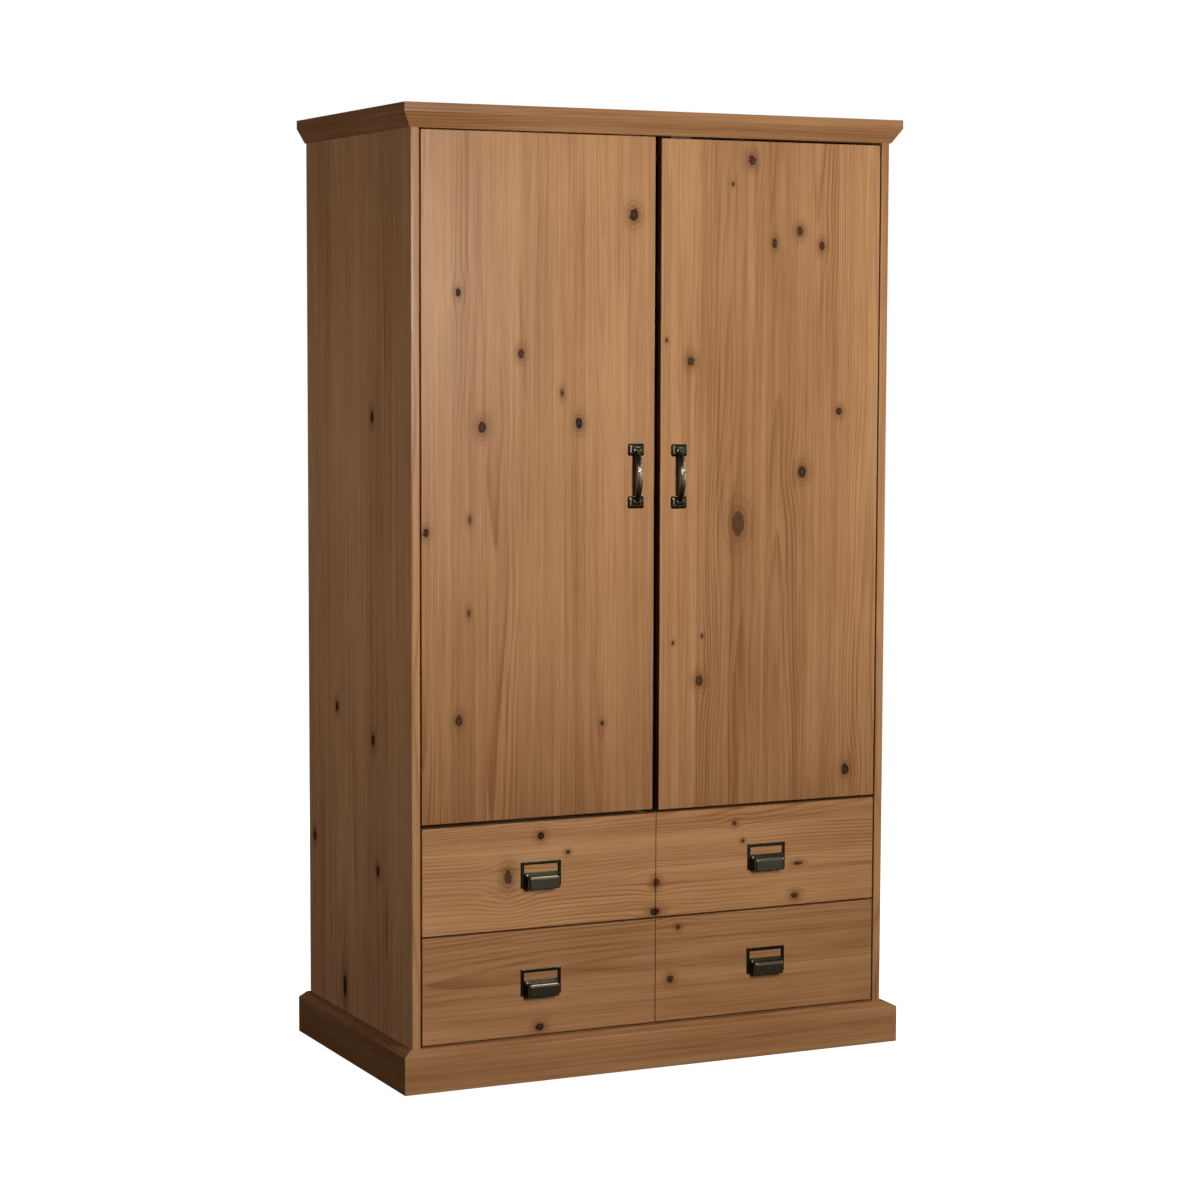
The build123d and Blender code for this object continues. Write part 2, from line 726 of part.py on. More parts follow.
def drawer(name, front_bottom, level):
    """One drawer: grooved front, box, two pulls and the moving half of its runners."""
    low = front_bottom + box_above_front_bottom
    high = low + box_side_height
    bottom_z = low + box_bottom_up
    inner = box_x - drawer_side_thickness
    x, z = pull_places(front_bottom)
    bolts = both_sides(pull_screws(x, z))
    screws = profile_screws(level)
    half_front = inner_x - side_gap
    front = block((-half_front, front_y, front_bottom), (half_front, box_front_y, front_bottom + drawer_front_height))
    half_groove = drawer_groove_width / 2
    front -= block((-half_groove, front_y, front_bottom),
                   (half_groove, front_y + drawer_groove_depth, front_bottom + drawer_front_height))
    side = block((inner, box_front_y - box_groove, low), (box_x, box_back_y, high))
    back = block((-inner, box_back_y - drawer_side_thickness, bottom_z + thin_panel), (inner, box_back_y, high))
    reach = inner + box_groove
    bottom = block((-reach, box_front_y - box_groove, bottom_z), (reach, box_back_y, bottom_z + thin_panel))
    side -= [bottom] + screws
    keep(name + "_front", front - both_sides([side]) - bottom - bolts)
    keep(name + "_sides", *both_sides([side]))
    keep(name + "_back", back)
    keep(name + "_bottom", bottom)
    keep(name + "_pulls", *[pull - bolts for pull in both_sides([cup_pull(x, z)])])
    keep(name + "_runner_profiles", *[rail - screws for rail in both_sides([runner_profile(level)])])
    keep(name + "_screws", *(bolts + screws))
    keep(name + "_front_rollers", *front_rollers(level))
    keep(name + "_rear_rollers", *rear_rollers(level))


# ---------------------------------------------------------------- the whole armoire
def carcass():
    pins, screws = dowels(), carcass_screws()
    holes = pins + screws
    side = side_panel()
    keep("side_panel_left", mirror(side, about=Plane.YZ) - holes)
    keep("side_panel_right", side - holes)
    top = block((-outer_x, front_y, side_top), (outer_x, back_y, overall_height))
    keep("top_board", top - pins)
    keep("top_front_rail", cross_board(front_y, front_y + rail_depth, cornice_bottom, side_top) - holes)
    back_rail = cross_board(panel_front_y - board, panel_front_y, side_top - back_rail_height, side_top)
    keep("top_back_rail", back_rail - holes - wall_holes())
    for part, solid in zip(("front", "left", "right"), cornice()):
        keep("cornice_" + part, solid)
    keep("wardrobe_floor", cross_board(rail_front_y, panel_front_y, floor_top - board, floor_top) - holes)
    rail_low, rail_high = drawer_rail_z - board / 2, drawer_rail_z + board / 2
    keep("drawer_rail", cross_board(rail_front_y, rail_front_y + rail_depth, rail_low, rail_high) - holes)
    keep("base_panel", cross_board(front_y, panel_front_y, base_bottom, plinth_top) - holes)
    keep("base_rails", *[rail - holes for rail in base_rails()])
    for part, solid in zip(("front", "left", "right"), plinth()):
        keep("plinth_" + part, solid - screws)
    keep("floor_glides", *floor_glides())
    panel = back_panel()
    keep("back_panel_left", mirror(panel, about=Plane.YZ) - screws)
    keep("back_panel_right", panel - screws)
    keep("back_joint_strip", back_joint_strip())
    shelf = cross_board(shelf_front_y, panel_front_y, shelf_bottom, shelf_bottom + board)
    keep("hat_shelf", shelf - holes)
    keep("hanging_rail", hanging_rail())
    keep("rail_sockets", *both_sides([rail_socket()]))
    plates = raised(hinge_plates(), left_door_lift) + mirrored(raised(hinge_plates(), right_door_lift))
    keep("hinge_plates", *[plate - screws for plate in plates])
    arms = raised(hinge_arms(), left_door_lift) + mirrored(raised(hinge_arms(), right_door_lift))
    keep("hinge_arms", *arms)
    keep("door_catches", *[catch - screws for catch in both_sides([door_catch()])])
    tracks = [rail for level in runner_levels() for rail in both_sides([track(level)])]
    keep("runner_tracks", *[rail - screws for rail in tracks])
    keep("dowels", *pins)
    keep("carcass_screws", *screws)


def write_parts():
    os.makedirs("parts", exist_ok=True)
    for node, shapes in pieces.items():
        solids = [solid for shape in shapes for solid in shape.solids()]
        export_step(Compound(children=solids), "parts/" + node + ".step")


carcass()
door("left_door", left_door_lift, LEFT)
door("right_door", right_door_lift, RIGHT)
lower_level, upper_level = runner_levels()
drawer("lower_drawer", lower_front_bottom, lower_level)
drawer("upper_drawer", upper_front_bottom, upper_level)
write_parts()
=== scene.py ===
"""Two-door pine armoire: its boards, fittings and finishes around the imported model.

Everything is in metres in the frame of the model: origin at the centre of the footprint on the floor,
+Z up, the front faces -Y.
"""
import math

import bpy
import numpy as np
from bpy.props import FloatProperty, FloatVectorProperty, PointerProperty
from mathutils import Matrix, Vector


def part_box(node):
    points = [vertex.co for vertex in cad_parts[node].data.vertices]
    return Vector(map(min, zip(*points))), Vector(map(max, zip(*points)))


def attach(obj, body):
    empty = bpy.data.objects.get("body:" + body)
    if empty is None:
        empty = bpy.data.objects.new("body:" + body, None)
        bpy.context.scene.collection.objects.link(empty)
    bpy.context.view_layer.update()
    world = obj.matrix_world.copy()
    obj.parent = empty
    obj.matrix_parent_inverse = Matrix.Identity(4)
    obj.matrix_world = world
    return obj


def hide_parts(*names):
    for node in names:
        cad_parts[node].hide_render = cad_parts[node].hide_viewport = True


bl_info = {
    "name": "Pine armoire",
    "version": (1, 0, 0),
    "blender": (4, 5, 0),
    "location": "View3D > Sidebar > Armoire",
    "description": "Stained pine boards, mouldings and bronze fittings of a two-door armoire",
    "category": "Object",
}

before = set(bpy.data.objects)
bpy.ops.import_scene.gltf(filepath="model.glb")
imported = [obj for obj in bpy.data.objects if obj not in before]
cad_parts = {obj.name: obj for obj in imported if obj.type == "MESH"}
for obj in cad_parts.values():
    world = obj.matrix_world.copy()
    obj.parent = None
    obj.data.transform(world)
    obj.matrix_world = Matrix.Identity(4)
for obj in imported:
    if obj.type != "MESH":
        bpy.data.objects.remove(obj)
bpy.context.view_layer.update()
MM = 0.001
X, Y, Z = 0, 1, 2

# Knots as (across, up, half the width, half the height, darkness), in mm but for the darkness from 0 to 1,
# in the plane of each board's face.
LEFT_DOOR_KNOTS = [
    (-56, 1770, 10, 13, 0.85), (-444, 1610, 6, 8, 0.8), (-307, 1488, 7, 10, 0.55), (-392, 1342, 9, 12, 0.7),
    (-178, 1348, 8, 12, 1.0), (-514, 1133, 6, 9, 0.8), (-443, 752, 8, 11, 0.6), (-124, 731, 4, 5, 0.9),
    (-419, 1156, 4, 8, 0.1), (-421, 969, 4, 8, 0.1), (-216, 1409, 4, 8, 0.15),
]
RIGHT_DOOR_KNOTS = [
    (216, 1888, 9, 11, 0.6), (172, 1838, 3, 4, 0.5), (271, 1718, 6, 10, 0.7), (331, 1744, 8, 10, 0.5),
    (384, 1714, 6, 10, 0.7), (20, 1516, 3, 4, 0.6), (76, 1473, 8, 10, 0.6), (429, 1367, 7, 8, 0.8),
    (341, 1240, 10, 13, 0.8), (189, 1134, 15, 27, 0.25), (38, 890, 3, 4, 0.7), (106, 902, 3, 5, 0.5),
    (100, 808, 9, 12, 0.55), (453, 601, 9, 13, 0.85),
]
UPPER_DRAWER_KNOTS = [
    (-262, 506, 8, 8, 1.0), (-335, 426, 9, 16, 0.3), (-201, 468, 5, 4, 0.9), (2, 389, 8, 9, 0.5),
    (-1, 328, 12, 8, 0.85), (186, 502, 5, 5, 0.6), (206, 463, 4, 4, 0.6), (339, 406, 11, 4, 0.6),
    (332, 337, 9, 7, 0.6),
]
LOWER_DRAWER_KNOTS = [(54, 291, 6, 5, 0.5), (36, 182, 8, 8, 0.7), (-264, 109, 10, 8, 0.8)]
LEFT_SIDE_KNOTS = [
    (-72, 1358, 8, 12, 0.8), (139, 739, 8, 11, 0.8), (-72, 692, 9, 12, 0.8), (280, 440, 9, 12, 0.7),
    (-98, 423, 9, 12, 0.8), (98, 145, 9, 24, 0.9),
]
RIGHT_SIDE_KNOTS = [
    (-190, 1520, 8, 11, 0.6), (120, 1105, 7, 10, 0.8), (-40, 610, 9, 13, 0.5), (215, 330, 7, 9, 0.7),
]


# ---------------------------------------------------------------- sizes and colours
class ArmoireWood(bpy.types.PropertyGroup):
    """Colours and edges of the pine boards"""
    early: FloatVectorProperty(
        name="Early wood", description="Stained colour of the wide, pale part of each ring",
        subtype="COLOR", default=(0.512, 0.261, 0.112), min=0, max=1)
    late: FloatVectorProperty(
        name="Late wood", description="Stained colour of the narrow, dark part of each ring",
        subtype="COLOR", default=(0.284, 0.115, 0.039), min=0, max=1)
    knot: FloatVectorProperty(
        name="Knot", description="Darkest colour of a knot's core", subtype="COLOR",
        default=(0.030, 0.011, 0.007), min=0, max=1)
    inner_early: FloatVectorProperty(
        name="Inner wood", description="Pale part of the rings inside, where the stain is thin",
        subtype="COLOR", default=(0.50, 0.29, 0.14), min=0, max=1)
    inner_late: FloatVectorProperty(
        name="Inner late wood", description="Dark part of the rings inside",
        subtype="COLOR", default=(0.34, 0.17, 0.07), min=0, max=1)
    rim: FloatProperty(
        name="Edge rounding", description="Radius to which the boards' edges are sanded",
        unit="LENGTH", default=1.3 * MM, min=0.3 * MM, max=3 * MM)
    step: FloatProperty(
        name="Grid step", description="Distance between a board's grid lines, which carry its grain",
        unit="LENGTH", default=6 * MM, min=3 * MM, max=20 * MM)


class ArmoireFittings(bpy.types.PropertyGroup):
    """Colours and sizes of the handles and pulls"""
    bronze: FloatVectorProperty(
        name="Bronze", description="Dark ground of the handles and pulls", subtype="COLOR",
        default=(0.086, 0.070, 0.041), min=0, max=1)
    # This pale colour is partly real rubbing by hands and partly a painted highlight on the proud parts.
    worn_and_highlit_bronze: FloatVectorProperty(
        name="Worn bronze", description="Colour where hands have rubbed the edges", subtype="COLOR",
        default=(0.34, 0.29, 0.20), min=0, max=1)
    bar_width: FloatProperty(
        name="Bow width", description="Width of a door handle's bow at its middle",
        unit="LENGTH", default=12.0 * MM, min=8 * MM, max=18 * MM)
    bar_thickness: FloatProperty(
        name="Bow thickness", description="Thickness of a door handle's bow",
        unit="LENGTH", default=8.5 * MM, min=4 * MM, max=9 * MM)
    hood_wall: FloatProperty(
        name="Cup wall", description="Thickness of the drawer pull's cup",
        unit="LENGTH", default=1.6 * MM, min=0.8 * MM, max=2 * MM)


class ArmoireStudio(bpy.types.PropertyGroup):
    """Power of the studio's lights, and the lens"""
    key: FloatProperty(
        name="Key light", description="Power of the light in front, which the lights for shine follow",
        default=84.0)
    side_fill: FloatProperty(
        name="Side fill", description="Power of the light on the left side", default=15.0)
    back_fill: FloatProperty(
        name="Back fill", description="Power of each of the lights behind, above and on the right",
        default=22.0)
    lens: FloatProperty(name="Lens", description="Focal length in mm on a 36 mm sensor", default=90.5)


# ---------------------------------------------------------------- finishes
class Wire:
    """An output socket. Arithmetic on it adds the Math nodes that work the expression out."""

    def __init__(self, finish, socket):
        self.finish = finish
        self.socket = socket

    def __add__(self, other):
        return self.finish.maths("ADD", self, other)

    __radd__ = __add__

    def __sub__(self, other):
        return self.finish.maths("SUBTRACT", self, other)

    def __rsub__(self, other):
        return self.finish.maths("SUBTRACT", other, self)

    def __mul__(self, other):
        return self.finish.maths("MULTIPLY", self, other)

    __rmul__ = __mul__

    def __truediv__(self, other):
        return self.finish.maths("DIVIDE", self, other)

    def __rtruediv__(self, other):
        return self.finish.maths("DIVIDE", other, self)

    def __pow__(self, other):
        return self.finish.maths("POWER", self, other)


class Finish:
    """A material being put together from nodes."""

    def __init__(self, name):
        self.material = bpy.data.materials.new(name)
        self.material.use_nodes = True
        self.tree = self.material.node_tree
        self.tree.nodes.clear()

    def node(self, kind, settings=None, values=(), output=0):
        """Adds a node, sets it up, gives its sockets their values or links, and returns one output."""
        node = self.tree.nodes.new(kind)
        for name, value in (settings or {}).items():
            setattr(node, name, value)
        for key, value in values.items() if isinstance(values, dict) else enumerate(values):
            if isinstance(value, Wire):
                self.tree.links.new(value.socket, node.inputs[key])
            else:
                node.inputs[key].default_value = value
        return Wire(self, node.outputs[output]) if node.outputs else None

    def maths(self, operation, *values):
        return self.node("ShaderNodeMath", {"operation": operation}, values)

    def place(self, scale=(1, 1, 1)):
        """Object coordinates, stretched by scale."""
        coordinates = self.node("ShaderNodeTexCoord", output="Object")
        return self.node("ShaderNodeMapping", None, {"Vector": coordinates, "Scale": scale})

    def noise(self, scale, detail=2.0, roughness=0.5, lane=0.0):
        """Noise from 0 to 1 over stretched Object coordinates. Each lane has a pattern of its own."""
        values = {"Vector": self.place(scale), "W": lane, "Scale": 1.0,
                  "Detail": detail, "Roughness": roughness}
        return self.node("ShaderNodeTexNoise", {"noise_dimensions": "4D"}, values)

    def attribute(self, name):
        """The three numbers of an attribute that make_piece wrote."""
        return self.parts(self.node("ShaderNodeAttribute", {"attribute_name": name}, output="Vector"))

    def parts(self, vector):
        """The three numbers of a vector."""
        node = self.tree.nodes.new("ShaderNodeSeparateXYZ")
        self.tree.links.new(vector.socket, node.inputs[0])
        return [Wire(self, socket) for socket in node.outputs]

    def rise(self, value, start, end):
        """0 below start and 1 above end, with a smooth turn between."""
        values = {"Value": value, "From Min": start, "From Max": end}
        return self.node("ShaderNodeMapRange", {"interpolation_type": "SMOOTHSTEP"}, values)

    def mix(self, share, first, second):
        """The first colour where share is 0, the second where it is 1."""
        share_socket, first_socket, second_socket, mixed = 0, 6, 7, 2
        values = {share_socket: share, first_socket: first, second_socket: second}
        return self.node("ShaderNodeMix", {"data_type": "RGBA"}, values, mixed)

    def shade(self, colour, factor):
        """A colour made brighter or darker by a number."""
        return self.node("ShaderNodeVectorMath", {"operation": "SCALE"}, {0: colour, "Scale": factor})

    def done(self, values, height=None, depth=0.0):
        """Joins the shader to the output, with a bump from height if there is one."""
        if height is not None:
            bump = {"Strength": 1.0, "Distance": depth, "Height": height}
            values["Normal"] = self.node("ShaderNodeBump", None, bump)
        shader = self.node("ShaderNodeBsdfPrincipled", None, values)
        self.node("ShaderNodeOutputMaterial", None, {0: shader})
        return self.material


def opaque(colour):
    return (*colour, 1.0)


def stretched(along, across, length):
    """Scales for a pattern that is long down the grain: across per metre, and length per metre along."""
    return tuple(length if axis == along else across for axis in (X, Y, Z))


def pine(name, along, early, late, knot=None, contrast=1.0, board_across=Y):
    """Pine with its rings, fibres, flecks, uneven stain and knots.

    Boards with a grain attribute bring their own ring count and knots. Otherwise the rings are the level
    lines of a noise that is drawn out down the grain, with a pattern for each glued stave. Late wood fills
    the end of each ring. The colour goes from pale to deep by share = 0.38 - 1.5 tone + 0.62 late wood,
    where tone sums the board's tint, fibres, streaks, blotches and flecks. A knot is a dark core in a warm
    halo, by reach = the distance from its middle over its half size, made ragged by a noise.
    """
    finish = Finish(name)
    if knot is not None:
        phase, stave, tint = finish.attribute("grain")
        knot_across, knot_up, dark = finish.attribute("knot")
    else:
        stave_width, start = 0.085, 40.3
        across = finish.parts(finish.place())[board_across]
        stave = finish.maths("FLOOR", across / stave_width + start)
        tint = finish.node("ShaderNodeTexWhiteNoise", {"noise_dimensions": "1D"}, {"W": stave}) - 0.5
        phase = finish.noise(stretched(along, 5.5, 0.55), 1.0, 0.3, stave * 3.7) * 17.0
    drift = finish.noise(stretched(along, 30, 2.2), 2.0, 0.5, stave)
    ring = finish.maths("FRACT", phase + 0.5 * drift)
    late_share = finish.rise(ring, 0.42, 0.90) * (1.0 - finish.rise(ring, 0.92, 1.0))
    strength = finish.noise(stretched(along, 12, 1.1), 1.0, 0.5, stave + 11.0)
    late_share = late_share * finish.rise(strength, 0.36, 0.80) * (0.80 * contrast)
    fibre = finish.noise(stretched(along, 250, 3.5), 4.0, 0.75, stave)
    streak = finish.noise(stretched(along, 55, 0.9), 3.0, 0.6, stave + 5.0)
    fleck = finish.rise(finish.noise(stretched(along, 1500, 42), 1.0, 0.5, 3.0), 0.66, 0.80)
    blotch = finish.noise(stretched(along, 7, 2.6), 3.0, 0.6, 8.0)
    tone = 0.11 * tint + 0.80 * (fibre - 0.5) + 0.62 * (streak - 0.5) + 0.42 * (blotch - 0.5) - 0.14 * fleck
    share = finish.maths("MINIMUM", 0.38 - 1.5 * tone + 0.62 * late_share, 1.25)
    share = finish.maths("MAXIMUM", share, 0.0)
    pale = [e + 0.38 * (e - l) for e, l in zip(early, late)]
    colour = finish.mix(share, opaque(pale), opaque(late))
    colour = finish.shade(colour, 1.0 + 0.09 * tint)
    rough = 0.28 + 0.10 * (fibre - 0.5) + 0.06 * late_share
    height = 0.35 * late_share - 0.25 * (fibre - 0.5) - 0.3 * fleck
    if knot is not None:
        ragged = finish.noise((150, 150, 150), 3.0, 0.6, 2.0)
        reach = (knot_across * knot_across + knot_up * knot_up) ** 0.5 + 0.9 * (ragged - 0.5)
        core = 1.0 - finish.rise(reach, 0.85, 1.12)
        heart = 1.0 - finish.rise(reach, 0.10, 0.42)
        collar = finish.rise(reach, 1.05, 1.25) * (1.0 - finish.rise(reach, 1.35, 1.75))
        swirl = finish.maths("FRACT", 1.15 * reach + 0.4 * drift)
        swirl = finish.rise(swirl, 0.4, 0.9) * (1.0 - finish.rise(swirl, 0.92, 1.0))
        swirl = swirl * (1.0 - finish.rise(reach, 1.6, 4.2))
        halo = 1.0 - finish.rise(reach, 1.0, 3.4)
        warmth = halo * 0.40 + 0.62 * swirl * ragged + 0.16 * collar
        warm = finish.mix(warmth, colour, opaque([0.8 * c for c in late]))
        ruddy = [0.55 * c + 0.45 * k for c, k in zip(late, knot)]
        body = finish.mix(dark * (1.0 - 0.55 * heart), opaque(ruddy), opaque(knot))
        body = finish.shade(body, 0.25 + 1.0 * ragged)
        colour = finish.mix(core, warm, body)
        height = height - 0.6 * core
        rough = rough + 0.3 * core
    values = {"Base Color": colour, "Roughness": rough, "Specular IOR Level": 0.24, "IOR": 1.45}
    return finish.done(values, height, 0.09 * MM)


def bronze(name, ground, worn_and_highlit):
    """Dark bronze: a blotched patina, pale on the parts that stand out furthest, as its attribute marks them.
    The pale metal is partly real rubbing by hands and partly a painted highlight.
    """
    finish = Finish(name)
    wear_and_highlight = finish.attribute("wear_and_highlight")[0]
    cloud = finish.noise((260, 260, 260), 3.0, 0.6, 1.0)
    grit = finish.noise((1500, 1500, 1500), 2.0, 0.6, 4.0)
    # Pale metal where the part stands out: partly real rubbing by hands, partly a painted highlight.
    rubbed_and_highlit = finish.rise(wear_and_highlight + 0.5 * (cloud - 0.5), 0.45, 1.0)
    green = [channel * keep for channel, keep in zip(ground, (0.70, 0.92, 1.0))]
    colour = finish.mix(finish.rise(cloud, 0.42, 0.62), opaque(ground), opaque(green))
    colour = finish.mix(rubbed_and_highlit * 0.8, colour, opaque(worn_and_highlit))
    colour = finish.shade(colour, 0.7 + 0.6 * grit)
    rough = 0.24 + 0.2 * (grit - 0.5) - 0.04 * rubbed_and_highlit
    values = {"Base Color": colour, "Metallic": 0.92, "Roughness": rough}
    return finish.done(values, 0.6 * cloud + 0.15 * grit, 0.12 * MM)


def metal(name, colour, dull, rough, metallic=1.0, scuff=0.5, along=X):
    """Drawn or plated metal: fine draw lines down its length, dulled in clouds."""
    finish = Finish(name)
    lines = finish.noise(stretched(along, 2600, 30), 2.0, 0.6, 1.0)
    cloud = finish.noise((45, 45, 45), 3.0, 0.6, 6.0)
    speck = finish.rise(finish.noise((420, 420, 420), 2.0, 0.5, 9.0), 0.62, 0.72)
    shade = finish.mix(finish.rise(cloud, 0.40, 0.66) * scuff, opaque(colour), opaque(dull))
    shade = finish.shade(shade, 0.94 + 0.12 * lines - 0.12 * scuff * speck)
    rough = rough + 0.14 * (cloud - 0.5) + 0.08 * (lines - 0.5)
    values = {"Base Color": shade, "Metallic": metallic, "Roughness": rough}
    return finish.done(values, 0.5 * lines + 0.3 * cloud, 0.06 * MM)


def moulded(name, colour):
    """Moulded plastic with a fine texture and faint flow marks."""
    finish = Finish(name)
    grain = finish.noise((900, 900, 900), 2.0, 0.6, 1.0)
    flow = finish.noise((30, 30, 90), 2.0, 0.5, 3.0)
    shade = finish.shade(colour, 0.82 + 0.2 * grain + 0.2 * flow)
    return finish.done({"Base Color": shade, "Roughness": 0.42 + 0.2 * (grain - 0.5)}, grain, 0.08 * MM)


def plywood(name, colour):
    """Sealed plywood: long soft figure, close pores and a little blotching."""
    finish = Finish(name)
    figure = finish.noise((9, 9, 0.9), 2.0, 0.5, 1.0) * 9.0
    band = finish.rise(finish.maths("PINGPONG", figure, 1.0), 0.1, 0.9)
    pore = finish.rise(finish.noise((1300, 1300, 55), 1.0, 0.5, 5.0), 0.60, 0.76)
    fibre = finish.noise((420, 420, 6), 3.0, 0.6, 7.0)
    shade = finish.shade(colour, 0.86 + 0.16 * band + 0.20 * (fibre - 0.5) - 0.16 * pore)
    values = {"Base Color": shade, "Roughness": 0.58 + 0.1 * (fibre - 0.5)}
    return finish.done(values, 0.4 * fibre - 0.6 * pore, 0.15 * MM)


def finish_called(kind):
    """The finish of that kind, made the first time it is wanted."""
    name = kind + "_finish"
    if name in bpy.data.materials:
        return bpy.data.materials[name]
    wood, metals = bpy.context.scene.armoire_wood, bpy.context.scene.armoire_fittings
    outer = {"early": wood.early, "late": wood.late}
    inner = {"early": wood.inner_early, "late": wood.inner_late}
    makers = {
        "stained_pine_upright": lambda: pine(name, Z, knot=wood.knot, **outer),
        "stained_pine_level": lambda: pine(name, X, knot=wood.knot, **outer),
        "stained_pine_deep": lambda: pine(name, Y, knot=wood.knot, **outer),
        "top_pine": lambda: pine(name, X, board_across=Y, **outer),
        "inner_pine_level": lambda: pine(name, X, board_across=Y, contrast=0.8, **inner),
        "inner_pine_rail": lambda: pine(name, X, board_across=Z, contrast=0.8, **inner),
        "inner_pine_deep": lambda: pine(name, Y, board_across=Z, contrast=0.8, **inner),
        "back_plywood": lambda: plywood(name, (0.50, 0.31, 0.16)),
        "beech": lambda: pine(
            name, X, (0.62, 0.42, 0.26), (0.50, 0.31, 0.17), board_across=Z, contrast=0.4),
        "dark_bronze": lambda: bronze(name, metals.bronze, metals.worn_and_highlit_bronze),
        "chromed_rail": lambda: metal(name, (0.78, 0.78, 0.79), (0.55, 0.56, 0.58), 0.14, scuff=0.35),
        "runner_enamel": lambda: metal(
            name, (0.80, 0.79, 0.74), (0.70, 0.68, 0.62), 0.36, metallic=0.0, along=Y),
        "plated_steel": lambda: metal(
            name, (0.62, 0.61, 0.59), (0.42, 0.41, 0.39), 0.30, scuff=0.7, along=Z),
        "nylon": lambda: moulded(name, (0.075, 0.055, 0.040)),
        "pale_nylon": lambda: moulded(name, (0.72, 0.70, 0.64)),
    }
    return makers[kind]()


# ---------------------------------------------------------------- surfaces
def grid_lines(low, high, rim_low, rim_high, step, kept=()):
    """Lines from low to high: three turn each rim, one supports it, and the others are a step apart or less.
    A line at tan(22.5 degrees) of the rim from its inner end halves the turn."""
    turn = 1 - math.tan(math.pi / 8)
    support = 0.6 * MM
    start, end = low + rim_low, high - rim_high
    stops, head, tail = [start, end, *kept], [], []
    if rim_low > 0:
        stops.append(start + support)
        head = [low, low + turn * rim_low]
    if rim_high > 0:
        stops.append(end - support)
        tail = [high - turn * rim_high, high]
    stops = np.unique(np.round(stops, 7))
    spans = []
    for a, b in zip(stops[:-1], stops[1:]):
        steps = max(int(np.ceil((b - a) / step - 1e-6)), 1)
        spans.append(np.linspace(a, b, steps + 1)[:-1])
    return np.concatenate([head, *spans, stops[-1:], tail])


def box_skin(low, high, rim, step, kept=((), (), ()), rims=None, leave_out=()):
    """The skin of a box with turned edges. A grid covers each face, and each point is pulled to the distance
    rim from the nearest point of the smaller box inside, which turns the edges and corners round.
    rims marks the six sides (low X, Y, Z, high X, Y, Z) whose edges are turned."""
    low, high = np.array(low, float), np.array(high, float)
    turned = np.ones((2, 3)) if rims is None else np.array(rims, float).reshape(2, 3)
    rim_low, rim_high = rim * turned[0], rim * turned[1]
    lines = [grid_lines(low[a], high[a], rim_low[a], rim_high[a], step, kept[a]) for a in (X, Y, Z)]
    points, quads, start = [], [], 0
    for axis in (X, Y, Z):
        rows, columns = lines[(axis + 1) % 3], lines[(axis + 2) % 3]
        for end in (0, 1):
            if (axis, end) in leave_out:
                continue
            grid = np.empty((len(rows), len(columns), 3))
            grid[..., axis] = high[axis] if end else low[axis]
            grid[..., (axis + 1) % 3] = rows[:, None]
            grid[..., (axis + 2) % 3] = columns[None, :]
            points.append(grid.reshape(-1, 3))
            quads.append(start + grid_quads(len(rows), len(columns), end == 1))
            start += grid.size // 3
    points, quads = weld(np.concatenate(points), np.concatenate(quads))
    nearest = np.clip(points, low + rim_low, high - rim_high)
    outward = points - nearest
    distance = np.linalg.norm(outward, axis=1, keepdims=True)
    return nearest + outward * rim / np.maximum(distance, 1e-9), quads


def grid_quads(rows, columns, flip=False):
    """The quads of a grid of points in reading order, wound the other way round if flip."""
    corner = np.arange(rows * columns).reshape(rows, columns)[:-1, :-1].ravel()
    quads = np.stack([corner, corner + 1, corner + columns + 1, corner + columns], 1)
    return quads[:, ::-1] if flip else quads


def weld(points, *polygons):
    """Points that share a place to the micrometre become one."""
    keys = np.round(points * 1e6).astype(np.int64)
    _, first, same = np.unique(keys, axis=0, return_index=True, return_inverse=True)
    same = same.ravel()
    return (points[first], *[same[p] for p in polygons])


def skin_over(sections):
    """A closed skin over an array of sections, each a ring of points: quads join neighbouring sections, and a
    fan about its middle closes each end. It is turned so that its faces point outwards."""
    count, size, _ = sections.shape
    index = np.arange(count * size).reshape(count, size)
    after = np.roll(index, -1, axis=1)
    quads = np.stack([index[:-1], after[:-1], after[1:], index[1:]], 2).reshape(-1, 4)
    points = np.concatenate([sections.reshape(-1, 3), sections[:1].mean(1), sections[-1:].mean(1)])
    first, last = np.full(size, count * size), np.full(size, count * size + 1)
    fans = np.concatenate([
        np.stack([first, after[0], index[0]], 1), np.stack([last, index[-1], after[-1]], 1)])
    a, b, c, d = (points[quads[:, i]] for i in range(4))
    volume = (a * np.cross(b, c)).sum() + (a * np.cross(c, d)).sum()
    volume += (points[fans[:, 0]] * np.cross(points[fans[:, 1]], points[fans[:, 2]])).sum()
    if volume < 0:
        quads, fans = quads[:, ::-1], fans[:, ::-1]
    return points, [quads, fans]


def turned_outline(corners, radii, step):
    """A closed outline through corners, each turned at its radius in quarter steps, with points on the
    straight runs a step apart or less. A turn is the quadratic blend (1-t)^2 p + 2t(1-t) corner + t^2 q,
    where p and q lie a radius before and after the corner."""
    corners, outline = np.array(corners, float), []
    count = len(corners)
    for i in range(count):
        here, before, after = corners[i], corners[i - 1], corners[(i + 1) % count]
        to_before = (before - here) / np.linalg.norm(before - here)
        to_after = (after - here) / np.linalg.norm(after - here)
        p, q = here + radii[i] * to_before, here + radii[i] * to_after
        t = np.linspace(0, 1, 5)[:, None]
        outline.append((1 - t) ** 2 * p + 2 * t * (1 - t) * here + t ** 2 * q if radii[i] else here[None])
        following = after - radii[(i + 1) % count] * to_after
        gap = np.linalg.norm(following - q)
        steps = max(int(np.ceil(gap / step)), 1)
        outline.append(q + (following - q) * (np.arange(1, steps) / steps)[:, None])
    return np.concatenate(outline)


def joined(*shells):
    """Several shells, each (points, list of polygon arrays), as one."""
    points, polygons, start = [], [], 0
    for shell_points, shell_polygons in shells:
        points.append(shell_points)
        polygons += [p + start for p in shell_polygons]
        start += len(shell_points)
    return np.concatenate(points), polygons


